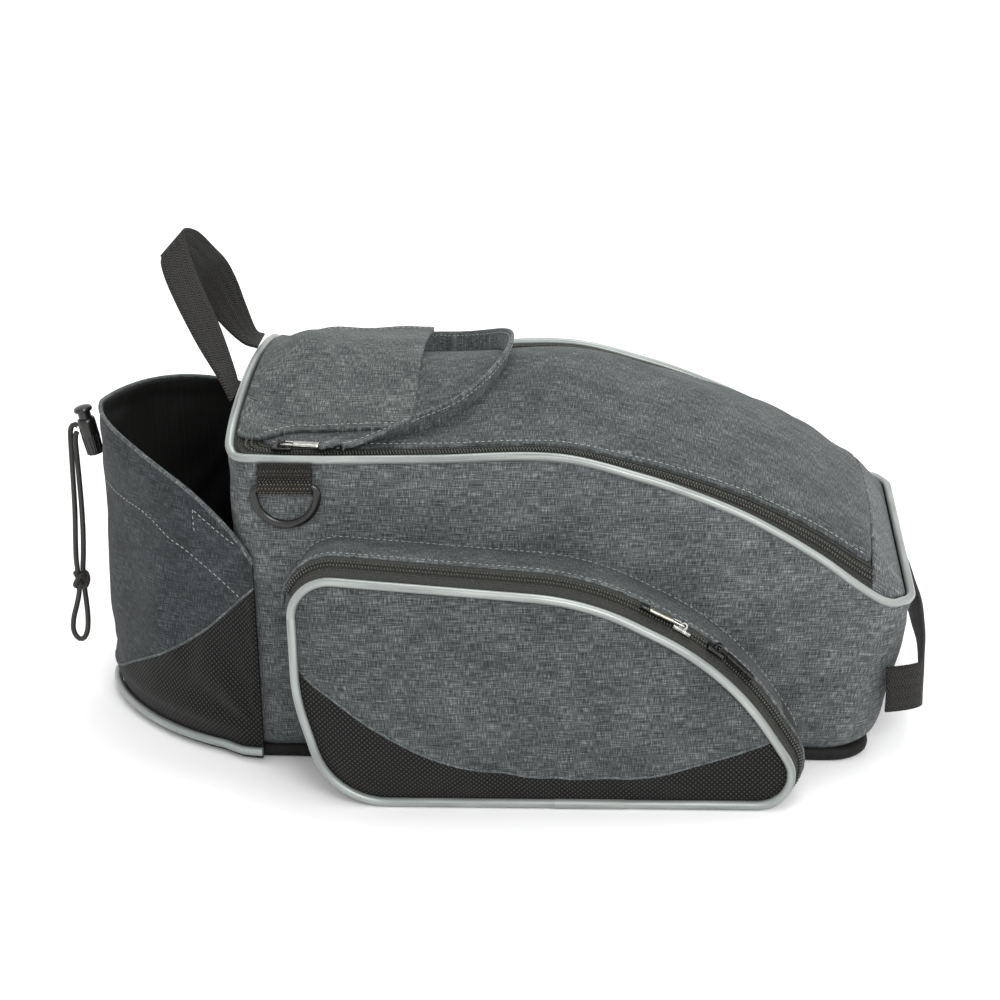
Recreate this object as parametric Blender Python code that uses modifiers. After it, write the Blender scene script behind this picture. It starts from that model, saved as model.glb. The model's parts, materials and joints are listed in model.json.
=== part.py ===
"""Bicycle trunk bag with a bottle pocket in front and a zipped pocket on each side.

Metres, +Z up. The bag stands on its base at Z = 0. -X is the end with the bottle pocket,
+X the low, sloping rear end, and -Y the near side.
"""
from collections import namedtuple
from math import ceil, cos, hypot, pi, sin, sqrt, tan

import bmesh
import bpy
from mathutils import Matrix, Vector

GAP = 0.0003                    # clearance between pieces that touch

# Body
FRONT_REACH = 0.182             # origin to the front wall
REAR_REACH = 0.195              # origin to the rear wall, at its top
BODY_WIDTH = 0.211
FRONT_HEIGHT = 0.182            # top edge of the side walls at the front
REAR_HEIGHT = 0.0945
REAR_RAKE = 0.022               # how far the foot of the rear wall is drawn in
FRONT_CORNER = 0.012
REAR_CORNER = 0.022
WALL = 0.0035                   # padded fabric
BASE_HEIGHT = 0.008
BASE_INSET = 0.001
BASE_EDGE = 0.0015
CROWN_RISE = 0.022              # the lid's middle over the side walls' top edge
CROWN_RUNOUT = 0.020            # length over which the crown falls away at the rear
CROWN_POWER = 6
WALL_LEVELS = 2
SIDE_STEPS = 13
END_STEPS = 5
ARC_STEPS = 4

# Piping and zips
PIPING_DIAMETER = 0.0048
PIPING_INSET = 0.001            # from the wall's outer face to the cord's centre line
ZIP_WIDTH = 0.013
ZIP_THICKNESS = 0.0014
ZIP_RIDGE_WIDTH = 0.005
ZIP_RIDGE_HEIGHT = 0.0011

# Lid, flap and the band under it
LID_THICKNESS = 0.003
REAR_PANEL_LENGTH = 0.024       # lid's rear seam, at its ends, to the rear wall
SEAM_BOW = 0.004
FLAP_LENGTH = 0.094
FLAP_HALF_WIDTH = 0.075
FLAP_THICKNESS = 0.0018
FLAP_LIFT = 0.017
FLAP_SET = 0.0015               # from the zip's edge behind the front piping to the flap
BAND_ROOT_REACH = 0.121
BAND_TIP_REACH = 0.034
BAND_HALF_SPAN = 0.083
BAND_HEIGHT = 0.013
BAND_THICKNESS = 0.0025
BAND_LEAN = 0.004
BAND_SEAT = 0.0008

# Webbing
HANDLE_WIDTH = 0.025
HANDLE_RISE = 0.092
HANDLE_LEAN = 0.030
HANDLE_SPAN = 0.100
HANDLE_OFFSET = 0.022           # the loop's middle, towards the near side
WEBBING_THICKNESS = 0.0018
STRAP_WIDTH = 0.027
STRAP_HEIGHT = 0.0455           # middle of the rear strap
STRAP_SLACK = 0.024             # the rear strap's middle, clear of the rear wall
STRAP_TAIL = 0.010

# Ring tabs
TAB_REACH = 0.149               # near ring tab, ahead of the origin
FAR_TAB_REACH = 0.150           # far ring tab, behind the origin
TAB_WIDTH = 0.030
TAB_DROP = 0.0110               # from the tab's top edge to the ring's bar
TAB_LAYER = 0.0014
TAB_BELOW_PIPING = 0.0008
RING_WIRE = 0.0038
RING_SPAN = 0.0348
RING_DROP = 0.0215
RING_CLEARANCE = 0.0003
RING_CORNER = 0.002

# Side pockets
POCKET_FRONT = 0.141            # origin to the pocket's front edge
POCKET_LENGTH = 0.280
POCKET_HEIGHT = 0.135
POCKET_SOLE = 0.003             # floor to the centre of the pocket's bottom piping
POCKET_DEPTH = 0.057
POCKET_WALL = 0.0025
POCKET_FLARE = 0.003
POCKET_BULGE = 0.006
POCKET_POINTS = 38
POCKET_ZIP_SET = 0.0065         # piping to the zip's near edge

# Bottle pocket
BOTTLE_REACH = 0.095            # front wall to the pocket's outer face
BOTTLE_WALL = 0.0025
BOTTLE_HEIGHT = 0.182
BOTTLE_POWER = 1.6
BOTTLE_STEPS = 22
BOTTLE_SOLE = 0.0015
BOTTLE_WAIST = 0.0042           # how far the pocket's foot is drawn in over its piping
BOTTLE_PIPING_HEIGHT = 0.007
BOTTLE_HEAD_LEAN = 0.003

# Cord lock
LOCK_RADIUS = 0.0054
LOCK_LENGTH = 0.0225
LOCK_FOOT_HEIGHT = 0.147
LOCK_TILT = 0.197               # radians, top leaning away from the pocket
LOCK_SEAT = 0.82                # the barrel's foot against the pocket, as a share of its radius
LOCK_BORE = 0.0041
LOCK_BORE_DEPTH = 0.0135
BUTTON_STEM = 0.0038
BUTTON_STEM_LENGTH = 0.0125
BUTTON_HEAD = 0.0056
BUTTON_HEAD_HEIGHT = 0.0035
BUTTON_TRAVEL = 0.004
LOCK_SIDES = 16
KNOT_RADIUS = 0.0054
KNOT_LENGTH = 0.013
CORD_DIAMETER = 0.0032

# Zip sliders and pullers
SLIDER_LENGTH = 0.011
SLIDER_WIDTH = 0.0075
SLIDER_HEIGHT = 0.0024
ARCH_WIDTH = 0.003
ARCH_HOLE = 0.0012
ARCH_WALL = 0.0009
PULLER_LENGTH = 0.026
PULLER_WIDTH = 0.0062
PULLER_THICKNESS = 0.0014
PULLER_WINDOW = 0.0036
PULLER_RAIL = 0.0014
MAIN_SLIDER_REACH = 0.152
POCKET_SLIDER_REACH = 0.074     # midway between the two pocket sliders, behind the origin
POCKET_SLIDER_SPACING = 0.018

# Colours and finishes: linear red, green, blue, roughness, metallic
GREY_FABRIC = (0.115, 0.122, 0.138, 0.95, 0.0)
BLACK_FABRIC = (0.024, 0.022, 0.020, 0.90, 0.0)
WEBBING_BLACK = (0.018, 0.017, 0.014, 0.85, 0.0)
PIPING_SILVER = (0.560, 0.610, 0.580, 0.40, 0.0)
ZIP_BLACK = (0.033, 0.035, 0.028, 0.80, 0.0)
DARK_METAL = (0.060, 0.060, 0.058, 0.30, 1.0)
BLACK_PLASTIC = (0.020, 0.020, 0.019, 0.45, 0.0)

# Top edge of the side wall, as shares of the body's length and of its fall to the rear
RimRow = namedtuple("RimRow", "along rise")
RIM = [
    RimRow(along=0.00, rise=1.00),
    RimRow(along=0.12, rise=0.985),
    RimRow(along=0.30, rise=0.99),
    RimRow(along=0.48, rise=1.00),
    RimRow(along=0.60, rise=0.87),
    RimRow(along=0.69, rise=0.73),
    RimRow(along=0.77, rise=0.57),
    RimRow(along=0.86, rise=0.33),
    RimRow(along=0.92, rise=0.135),
    RimRow(along=0.96, rise=0.03),
    RimRow(along=1.00, rise=0.00),
]

# How square the crown is across the bag, from a soft wave at 0 to a boxy arch at 1
CrownRow = namedtuple("CrownRow", "along fullness")
CROWN = [
    CrownRow(along=0.00, fullness=1.00),
    CrownRow(along=0.02, fullness=0.45),
    CrownRow(along=0.05, fullness=0.10),
    CrownRow(along=0.12, fullness=0.00),
    CrownRow(along=0.50, fullness=0.00),
    CrownRow(along=0.75, fullness=0.40),
    CrownRow(along=0.93, fullness=0.90),
    CrownRow(along=1.00, fullness=1.00),
]

# Flap: half width and lift over the lid, as shares, from the front piping to the free edge
FlapRow = namedtuple("FlapRow", "along half_width lift")
FLAP = [
    FlapRow(along=0.00, half_width=1.22, lift=0.00),
    FlapRow(along=0.12, half_width=1.16, lift=0.55),
    FlapRow(along=0.28, half_width=1.01, lift=1.00),
    FlapRow(along=0.45, half_width=1.00, lift=0.78),
    FlapRow(along=0.70, half_width=0.97, lift=0.56),
    FlapRow(along=1.00, half_width=0.93, lift=0.47),
]

# Front handle: shares of its span, rise and lean, and the direction of the webbing's width
HandleRow = namedtuple("HandleRow", "along span rise lean wide_x wide_y wide_z")
HANDLE = [
    HandleRow(along=0.00, span=0.00, rise=0.00, lean=0.00, wide_x=0.0, wide_y=1.0, wide_z=0.0),
    HandleRow(along=0.14, span=0.04, rise=0.20, lean=0.15, wide_x=0.05, wide_y=1.0, wide_z=0.1),
    HandleRow(along=0.28, span=0.06, rise=0.46, lean=0.45, wide_x=0.1, wide_y=0.95, wide_z=0.25),
    HandleRow(along=0.40, span=0.11, rise=0.70, lean=0.75, wide_x=0.2, wide_y=0.80, wide_z=0.55),
    HandleRow(along=0.48, span=0.20, rise=0.88, lean=0.95, wide_x=0.3, wide_y=0.45, wide_z=0.8),
    HandleRow(along=0.55, span=0.36, rise=0.94, lean=1.00, wide_x=0.4, wide_y=0.10, wide_z=0.9),
    HandleRow(along=0.62, span=0.56, rise=0.82, lean=0.92, wide_x=0.6, wide_y=-0.3, wide_z=0.7),
    HandleRow(along=0.70, span=0.69, rise=0.62, lean=0.74, wide_x=0.7, wide_y=-0.5, wide_z=0.4),
    HandleRow(along=0.82, span=0.80, rise=0.36, lean=0.42, wide_x=0.5, wide_y=-0.8, wide_z=0.1),
    HandleRow(along=1.00, span=1.00, rise=0.00, lean=0.00, wide_x=0.0, wide_y=-1.0, wide_z=0.0),
]
HANDLE_STEPS = 22

# Side pocket outline: corners as shares of its length and height, with their rounding
PocketCorner = namedtuple("PocketCorner", "along up rounding")
POCKET = [
    PocketCorner(along=0.000, up=1.000, rounding=0.075),
    PocketCorner(along=0.560, up=0.900, rounding=0.450),
    PocketCorner(along=0.830, up=0.600, rounding=0.420),
    PocketCorner(along=1.005, up=0.000, rounding=0.040),
    PocketCorner(along=0.060, up=0.000, rounding=0.120),
    PocketCorner(along=0.000, up=0.480, rounding=0.250),
]
POCKET_ZIP_START = 0.015        # shares of the way round the pocket, from its top front corner
POCKET_ZIP_END = 0.500

# Top edge of the bottle pocket, from its near end to its middle
BottleRow = namedtuple("BottleRow", "along height")
BOTTLE = [
    BottleRow(along=0.00, height=0.66),
    BottleRow(along=0.15, height=0.79),
    BottleRow(along=0.32, height=0.89),
    BottleRow(along=0.60, height=0.965),
    BottleRow(along=1.00, height=0.985),
]

# Elastic cord: from the lock down to the knot and round its end loop, in metres
CORD_ROUTE = [
    (-0.2889, 0.0018, 0.1636), (-0.2911, 0.0018, 0.1646), (-0.2931, 0.0016, 0.1625),
    (-0.2938, 0.0012, 0.1570), (-0.2940, 0.0006, 0.1450), (-0.2942, 0.0000, 0.1300),
    (-0.2948, -0.0002, 0.1100), (-0.2960, -0.0002, 0.0920), (-0.2967, 0.0000, 0.0800),
    (-0.2965, 0.0000, 0.0725), (-0.2965, 0.0000, 0.0595), (-0.2987, 0.0004, 0.0500),
    (-0.3017, 0.0006, 0.0400), (-0.3023, 0.0005, 0.0320), (-0.2997, 0.0002, 0.0272),
    (-0.2962, -0.0002, 0.0275), (-0.2935, -0.0006, 0.0330), (-0.2925, -0.0006, 0.0420),
    (-0.2927, -0.0003, 0.0520), (-0.2931, 0.0000, 0.0595), (-0.2931, 0.0000, 0.0725),
    (-0.2921, 0.0000, 0.0820), (-0.2911, 0.0002, 0.0960), (-0.2906, 0.0002, 0.1120),
    (-0.2905, 0.0000, 0.1300), (-0.2905, -0.0006, 0.1450), (-0.2904, -0.0014, 0.1540),
    (-0.2898, -0.0018, 0.1592), (-0.2889, -0.0018, 0.1610),
]
CORD_POINTS = 60
KNOT_REACH = 0.2948             # origin to the middle of the knot
KNOT_HEIGHT = 0.066
STRAND_OFFSET = 0.0017          # the knot's middle to each strand of the doubled cord

PIPING_RADIUS = PIPING_DIAMETER / 2
TOP_INSET = PIPING_INSET + PIPING_RADIUS + 3 * GAP
LID_INSET = TOP_INSET + ZIP_WIDTH + GAP
HALF_WIDTH = BODY_WIDTH / 2
BODY_LENGTH = FRONT_REACH + REAR_REACH
SEAM_REACH = REAR_REACH - REAR_PANEL_LENGTH
SIDE_FACE = HALF_WIDTH + GAP
POCKET_CREST = 0.0031           # rounding from the pocket's gusset to its face


# Scene
def clear_scene():
    for thing in list(bpy.data.objects):
        bpy.data.objects.remove(thing, do_unlink=True)


def make_collection(name, hidden=False):
    group = bpy.data.collections.new(name)
    bpy.context.scene.collection.children.link(group)
    group.hide_render = hidden
    return group


def make_material(name, finish):
    red, green, blue, roughness, metallic = finish
    material = bpy.data.materials.new(name)
    material.use_nodes = True
    shader = material.node_tree.nodes["Principled BSDF"]
    shader.inputs["Base Color"].default_value = (red, green, blue, 1.0)
    shader.inputs["Roughness"].default_value = roughness
    shader.inputs["Metallic"].default_value = metallic
    material.diffuse_color = (red, green, blue, 1.0)
    return material


def add_object(name, data, finish, group=None):
    thing = bpy.data.objects.new(name, data)
    (group or BAG).objects.link(thing)
    data.materials.append(make_material(name, finish))
    return thing


# Tables and outlines
def read_table(rows, along, column):
    """Smooth value of one column at a share along the table."""
    keys = [row.along for row in rows]
    values = [getattr(row, column) for row in rows]
    along = min(max(along, keys[0]), keys[-1])
    spot = max(index for index in range(len(keys) - 1) if keys[index] <= along)
    slopes = []
    for index in (spot, spot + 1):
        low, high = max(index - 1, 0), min(index + 1, len(keys) - 1)
        slopes.append((values[high] - values[low]) / (keys[high] - keys[low]))
    span = keys[spot + 1] - keys[spot]
    part = (along - keys[spot]) / span
    rest = 1 - part
    ends = values[spot] * (1 + 2 * part) * rest * rest + values[spot + 1] * (3 - 2 * part) * part * part
    return ends + span * (slopes[0] * part * rest * rest - slopes[1] * rest * part * part)


def top_height(x, y):
    """Height of the bag's top: the side wall's edge plus the crown of the lid."""
    x = min(max(x, TOP_INSET - FRONT_REACH), REAR_REACH - TOP_INSET)
    along = (x + FRONT_REACH) / BODY_LENGTH
    edge = REAR_HEIGHT + (FRONT_HEIGHT - REAR_HEIGHT) * read_table(RIM, along, "rise")
    across = min(abs(y) / (HALF_WIDTH - TOP_INSET), 1.0)
    full = read_table(CROWN, along, "fullness")
    shape = (1 - full) * cos(pi * across / 2) ** 2 + full * (1 - across ** CROWN_POWER)
    runout = min(max((REAR_REACH - TOP_INSET - x) / CROWN_RUNOUT, 0.0), 1.0)
    return edge + CROWN_RISE * shape * sin(pi * runout / 2)


def rear_wall_x(height):
    """Outer face of the rear wall at a height on the centre line."""
    return REAR_REACH - REAR_RAKE * (1 - height / REAR_HEIGHT)


def steps(start, end, count):
    return [start + (end - start) * index / count for index in range(count + 1)]


def half_outline(inset=0.0, start=None, drawn_in=0.0):
    """Near half of the plan outline: round the rear end, along the side and across the front."""
    front = -FRONT_REACH + inset
    rear = REAR_REACH - inset - drawn_in
    side = -HALF_WIDTH + inset
    front_round = max(FRONT_CORNER - inset, GAP * 10)
    rear_round = max(REAR_CORNER - inset, GAP * 10)
    points = []
    if start is None:
        start = rear - rear_round
        points += [(rear, y) for y in steps(0.0, side + rear_round, END_STEPS)]
        for turn in steps(0.0, pi / 2, ARC_STEPS)[1:-1]:
            points.append((start + rear_round * cos(turn), side + rear_round * (1 - sin(turn))))
    points += [(x, side) for x in steps(start, front + front_round, SIDE_STEPS)]
    for turn in steps(0.0, pi / 2, ARC_STEPS)[1:-1]:
        points.append((front + front_round * (1 - sin(turn)), side + front_round * (1 - cos(turn))))
    points += [(front, y) for y in steps(side + front_round, 0.0, END_STEPS)]
    return points


def whole_outline(inset=0.0, start=None, drawn_in=0.0):
    """Plan outline from the rear, round the near side and the front, and back on the far side."""
    near = half_outline(inset, start, drawn_in)
    far = [(x, -y) for x, y in reversed(near[:-1])]
    if start is None:
        far = far[:-1]
    return near + far


def plan_half_width(x, inset):
    """Half of the plan's width at x, for the outline at an inset."""
    front = -FRONT_REACH + inset
    rear = REAR_REACH - inset
    side = HALF_WIDTH - inset
    for edge, corner in ((x - front, FRONT_CORNER), (rear - x, REAR_CORNER)):
        radius = max(corner - inset, GAP * 10)
        if edge < radius:
            return side - radius + sqrt(max(radius ** 2 - (radius - edge) ** 2, 0.0))
    return side


def rounded_outline(corners, arc_steps=6):
    """Closed outline through corners (x, z, radius), each with an arc."""
    outline = []
    for index, (x, z, radius) in enumerate(corners):
        here = Vector((x, z))
        before = Vector(corners[index - 1][:2]) - here
        after = Vector(corners[(index + 1) % len(corners)][:2]) - here
        turn = before.angle(after)
        reach = min(radius / tan(turn / 2), 0.48 * before.length, 0.48 * after.length)
        radius = reach * tan(turn / 2)
        middle = (before.normalized() + after.normalized()).normalized()
        centre = here + middle * (radius / sin(turn / 2))
        first = here + before.normalized() * reach - centre
        last = here + after.normalized() * reach - centre
        sweep = first.angle_signed(last)
        for share in steps(0.0, 1.0, arc_steps):
            arm = first.copy()
            arm.rotate(Matrix.Rotation(-sweep * share, 2))
            outline.append(centre + arm)
    return outline


def resample(points, count, closed=True):
    """Evenly spaced points along a line of points."""
    loop = list(points) + [points[0]] if closed else list(points)
    lengths = [0.0]
    for first, second in zip(loop, loop[1:]):
        lengths.append(lengths[-1] + (second - first).length)
    last = count if closed else count - 1
    result = []
    spot = 0
    for index in range(count):
        target = lengths[-1] * index / last
        while spot < len(lengths) - 2 and lengths[spot + 1] < target:
            spot += 1
        part = (target - lengths[spot]) / (lengths[spot + 1] - lengths[spot])
        result.append(loop[spot].lerp(loop[spot + 1], part))
    return result


def smooth_route(points, count):
    """Evenly spaced points on a Catmull-Rom curve through the given ones."""
    knots = [Vector(point) for point in points]
    fine = []
    for index in range(len(knots) - 1):
        before = knots[max(index - 1, 0)]
        start, end = knots[index], knots[index + 1]
        after = knots[min(index + 2, len(knots) - 1)]
        for part in steps(0.0, 1.0, 8)[:-1]:
            pull = (end - before) * 0.5
            push = (after - start) * 0.5
            fine.append(start * (2 * part ** 3 - 3 * part ** 2 + 1) + pull * (part ** 3 - 2 * part ** 2 + part)
                        + end * (3 * part ** 2 - 2 * part ** 3) + push * (part ** 3 - part ** 2))
    fine.append(knots[-1])
    return resample(fine, count, closed=False)


# Solids
def grid_mesh(name, rows, wrap=False):
    """Mesh of quads between rows of points; its face side is columns crossed with rows."""
    width = len(rows[0])
    vertices = [tuple(point) for row in rows for point in row]
    faces = []
    for line in range(len(rows) - 1):
        for place in range(width if wrap else width - 1):
            after = (place + 1) % width
            faces.append((line * width + place, line * width + after,
                          (line + 1) * width + after, (line + 1) * width + place))
    mesh = bpy.data.meshes.new(name)
    mesh.from_pydata(vertices, [], faces)
    mesh.update()
    return mesh


def shell(name, rows, thickness, finish, wrap=False, offset=-1.0):
    """A closed wall: an open surface with its thickness on its inner side."""
    thing = add_object(name, grid_mesh(name, rows, wrap), finish)
    solidify = thing.modifiers.new("wall", "SOLIDIFY")
    solidify.thickness = thickness
    solidify.offset = offset
    solidify.use_even_offset = True
    thing.data.shade_smooth()
    return thing


def tube(name, points, diameter, finish, closed=False, detail=1):
    """A round cord or wire along a line of points."""
    curve = bpy.data.curves.new(name, "CURVE")
    curve.dimensions = "3D"
    curve.bevel_depth = diameter / 2
    curve.bevel_resolution = detail
    curve.use_fill_caps = not closed
    spline = curve.splines.new("POLY")
    spline.points.add(len(points) - 1)
    for knot, point in zip(spline.points, points):
        knot.co = (*point, 1.0)
    spline.use_cyclic_u = closed
    return add_object(name, curve, finish)


def plate(name, outlines, thickness, finish, frame, group=None):
    """A flat plate with holes: outlines lie in the frame's XY plane, centred on it."""
    curve = bpy.data.curves.new(name, "CURVE")
    curve.dimensions = "2D"
    curve.fill_mode = "BOTH"
    curve.extrude = thickness / 2
    for outline in outlines:
        spline = curve.splines.new("POLY")
        spline.points.add(len(outline) - 1)
        for knot, point in zip(spline.points, outline):
            knot.co = (point[0], point[1], 0.0, 1.0)
        spline.use_cyclic_u = True
    thing = add_object(name, curve, finish, group)
    thing.matrix_world = frame
    return thing


def as_mesh(thing):
    """Replace a curve by its welded mesh, or a mesh by its evaluated one, at the origin."""
    bpy.context.view_layer.update()
    evaluated = thing.evaluated_get(bpy.context.evaluated_depsgraph_get())
    mesh = bpy.data.meshes.new_from_object(evaluated)
    mesh.transform(thing.matrix_world)
    work = bmesh.new()
    work.from_mesh(mesh)
    bmesh.ops.remove_doubles(work, verts=work.verts, dist=1e-6)
    work.to_mesh(mesh)
    work.free()
    name, groups = thing.name, list(thing.users_collection)
    bpy.data.objects.remove(thing, do_unlink=True)
    solid = bpy.data.objects.new(name, mesh)
    for group in groups:
        group.objects.link(solid)
    solid.name = name
    return solid


def mirrored(near, name):
    """The far side's copy of a near piece, as an object of its own."""
    bpy.context.view_layer.update()
    evaluated = near.evaluated_get(bpy.context.evaluated_depsgraph_get())
    mesh = bpy.data.meshes.new_from_object(evaluated)
    mesh.transform(Matrix.Diagonal((1.0, -1.0, 1.0, 1.0)) @ near.matrix_world)
    mesh.flip_normals()
    work = bmesh.new()
    work.from_mesh(mesh)
    bmesh.ops.remove_doubles(work, verts=work.verts, dist=1e-6)
    work.to_mesh(mesh)
    work.free()
    mesh.name = name
    far = bpy.data.objects.new(name, mesh)
    BAG.objects.link(far)
    return far


def boolean(thing, tool, operation):
    """Add or cut with a tool that is kept as a hidden wire object."""
    modifier = thing.modifiers.new(operation.lower(), "BOOLEAN")
    modifier.object = tool
    modifier.operation = operation
    modifier.solver = "EXACT"
    tool.hide_render = True
    tool.display_type = "WIRE"


def circle(radius, count, x=0.0, y=0.0):
    angles = [2 * pi * index / count for index in range(count)]
    return [(x + radius * cos(angle), y + radius * sin(angle)) for angle in angles]


def frame_matrix(origin, along, across, out):
    """Matrix whose columns are a local frame's axes and origin."""
    columns = [Vector(axis).normalized() for axis in (along, across, out)]
    matrix = Matrix.Identity(4)
    for index, axis in enumerate(columns):
        for row in range(3):
            matrix[row][index] = axis[row]
    matrix.translation = Vector(origin)
    return matrix


# Body
def make_body_wall():
    """The four padded walls, open above under the lid and below over the base."""
    top = whole_outline()
    foot = whole_outline(drawn_in=REAR_RAKE)
    heights = [top_height(x, y) for x, y in top]
    rim = []
    for index, (x, y) in enumerate(top):
        before, after = index - 1, (index + 1) % len(top)
        run = hypot(top[after][0] - top[before][0], top[after][1] - top[before][1])
        slope = (heights[after] - heights[before]) / run
        rim.append(heights[index] - (PIPING_RADIUS + GAP) * sqrt(1 + slope * slope))
    rows = []
    for share in steps(0.0, 1.0, WALL_LEVELS):
        row = []
        for (x, y), (foot_x, foot_y), height in zip(top, foot, rim):
            row.append((x + (foot_x - x) * share, y + (foot_y - y) * share,
                        height + (BASE_HEIGHT - height) * share))
        rows.append(row)
    return shell("body_wall", rows, WALL, GREY_FABRIC, wrap=True)


def make_base():
    """The stiff padded sole that the bag stands on."""
    outline = whole_outline(inset=BASE_INSET, drawn_in=REAR_RAKE)
    work = bmesh.new()
    face = work.faces.new([work.verts.new((x, y, 0.0)) for x, y in outline])
    grown = bmesh.ops.extrude_face_region(work, geom=[face])
    raised = [item for item in grown["geom"] if isinstance(item, bmesh.types.BMVert)]
    bmesh.ops.translate(work, verts=raised, vec=(0.0, 0.0, BASE_HEIGHT - GAP))
    bmesh.ops.recalc_face_normals(work, faces=work.faces)
    mesh = bpy.data.meshes.new("base_panel")
    work.to_mesh(mesh)
    work.free()
    thing = add_object("base_panel", mesh, BLACK_FABRIC)
    bevel = thing.modifiers.new("edge", "BEVEL")
    bevel.width = BASE_EDGE
    bevel.segments = 1
    bevel.limit_method = "ANGLE"
    return thing


def make_top_piping():
    points = [(x, y, top_height(x, y)) for x, y in whole_outline(PIPING_INSET)]
    return tube("top_piping", points, PIPING_DIAMETER, PIPING_SILVER, closed=True)


def zip_columns(outer, width):
    """Places across a zip's tape, with the ridge of its teeth in the middle."""
    middle = outer + width / 2
    half_ridge = ZIP_RIDGE_WIDTH / 2
    return [(outer, 0.0), (middle - half_ridge, 0.0), (middle, ZIP_RIDGE_HEIGHT),
            (middle + half_ridge, 0.0), (outer + width, 0.0)]


def make_main_zip():
    """Zip tape along the near side, across the front and back along the far side."""
    rows = []
    for inset, ridge in reversed(zip_columns(TOP_INSET, ZIP_WIDTH)):
        outline = whole_outline(inset, start=SEAM_REACH)
        rows.append([(x, y, top_height(x, y) + ridge) for x, y in outline])
    return shell("main_zip", rows, ZIP_THICKNESS, ZIP_BLACK)


def make_lid():
    front = -FRONT_REACH + LID_INSET
    rows = []
    for share in steps(0.0, 1.0, 13):
        row = []
        for place in steps(-1.0, 1.0, 10):
            bow = SEAM_BOW * (1 - place * place) * (1 - share)
            x = SEAM_REACH + (front - SEAM_REACH) * share + bow
            y = place * plan_half_width(min(x, SEAM_REACH), LID_INSET)
            row.append((x, y, top_height(x, y)))
        rows.append(row)
    return shell("lid", rows, LID_THICKNESS, GREY_FABRIC)


def make_rear_panel():
    """The part of the top behind the lid's seam."""
    rear = REAR_REACH - TOP_INSET
    rows = []
    for turn in steps(0.0, pi / 2, 6):
        row = []
        for place in steps(-1.0, 1.0, 14):
            seam = SEAM_REACH + GAP * 2 + SEAM_BOW * (1 - place * place)
            x = seam + (rear - seam) * cos(turn)
            y = place * plan_half_width(x, TOP_INSET)
            row.append((x, y, top_height(x, y)))
        rows.append(row)
    return shell("rear_panel", rows, LID_THICKNESS, GREY_FABRIC)


def make_flap():
    """Cover sewn on behind the front piping, free on its other three edges."""
    front = -FRONT_REACH + TOP_INSET + FLAP_SET
    clear = FLAP_THICKNESS + ZIP_RIDGE_HEIGHT + 2 * GAP
    rows = []
    for share in steps(1.0, 0.0, 12):
        half = FLAP_HALF_WIDTH * read_table(FLAP, share, "half_width")
        lift = FLAP_LIFT * read_table(FLAP, share, "lift")
        x = front + FLAP_LENGTH * share
        row = []
        for place in steps(-1.0, 1.0, 10):
            y = place * half
            row.append((x, y, top_height(x, y) + clear + lift * cos(pi * place / 2) ** 2))
        rows.append(row)
    return shell("top_flap", rows, FLAP_THICKNESS, GREY_FABRIC)


def make_band():
    """Upright fabric band that runs in a D over the lid, from under the flap."""
    length = BAND_ROOT_REACH - BAND_TIP_REACH
    low, high = [], []
    for turn in steps(-pi / 2, pi / 2, 20):
        x = -BAND_ROOT_REACH + length * cos(turn)
        y = BAND_HALF_SPAN * sin(turn)
        seat = top_height(x, y) + BAND_SEAT
        low.append((x, y, seat))
        high.append((x + BAND_LEAN * cos(turn), y + BAND_LEAN * sin(turn), seat + BAND_HEIGHT))
    return shell("band_handle", [high, low], BAND_THICKNESS, GREY_FABRIC, offset=0.0)


# Webbing
def make_front_handle():
    """Loop of webbing that stands on the front piping and leans over the bottle pocket."""
    near = -HANDLE_OFFSET - HANDLE_SPAN / 2
    base_x = -FRONT_REACH + PIPING_INSET
    seat = PIPING_RADIUS + GAP + WEBBING_THICKNESS / 4
    rows = []
    for share in steps(0.0, 1.0, HANDLE_STEPS):
        y = near + HANDLE_SPAN * read_table(HANDLE, share, "span")
        x = base_x - HANDLE_LEAN * read_table(HANDLE, share, "lean")
        rise = HANDLE_RISE * read_table(HANDLE, share, "rise")
        wide = Vector([read_table(HANDLE, share, "wide_" + axis) for axis in "xyz"]).normalized()
        row = []
        for side in (-0.5, 0.0, 0.5):
            arm = wide * (HANDLE_WIDTH * side)
            place_y = y + arm.y
            standing = min(rise / (0.3 * HANDLE_RISE), 1.0)
            ground = top_height(base_x, place_y) * (1 - standing) + top_height(base_x, 0.0) * standing
            row.append((x + arm.x, place_y, ground + seat + rise + arm.z))
        rows.append(row)
    return shell("front_handle", rows, WEBBING_THICKNESS, WEBBING_BLACK, offset=0.0)


def make_rear_strap():
    """Webbing sewn to both rear corners, standing off the rear wall to take a light."""
    low = STRAP_HEIGHT - STRAP_WIDTH / 2
    high = STRAP_HEIGHT + STRAP_WIDTH / 2
    side = SIDE_FACE + WEBBING_THICKNESS
    wall = rear_wall_x(STRAP_HEIGHT)
    corner = wall - REAR_CORNER
    near = [(corner - STRAP_TAIL, -side), (corner, -side)]
    bend = side - REAR_CORNER * 0.6
    for turn in steps(0.0, pi / 2, 5)[1:]:
        near.append((corner + (wall + STRAP_SLACK * 0.75 - corner) * sin(turn),
                     -bend - (side - bend) * cos(turn)))
    for share in steps(0.0, 1.0, 4)[1:]:
        near.append((wall + STRAP_SLACK * (0.75 + 0.25 * sin(pi * share / 2)), -bend * (1 - share)))
    path = near + [(x, -y) for x, y in reversed(near[:-1])]
    rows = []
    for height in (low, STRAP_HEIGHT, high):
        rows.append([(x, y, height) for x, y in path])
    return shell("rear_strap", rows, WEBBING_THICKNESS, WEBBING_BLACK)


# Ring tabs
def tab_height(x):
    """Height of the ring's bar, for a tab that hangs under the piping at x."""
    half = TAB_WIDTH / 2
    lowest = min(top_height(x - half, HALF_WIDTH), top_height(x + half, HALF_WIDTH))
    return lowest - PIPING_RADIUS - TAB_BELOW_PIPING - TAB_DROP


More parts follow.
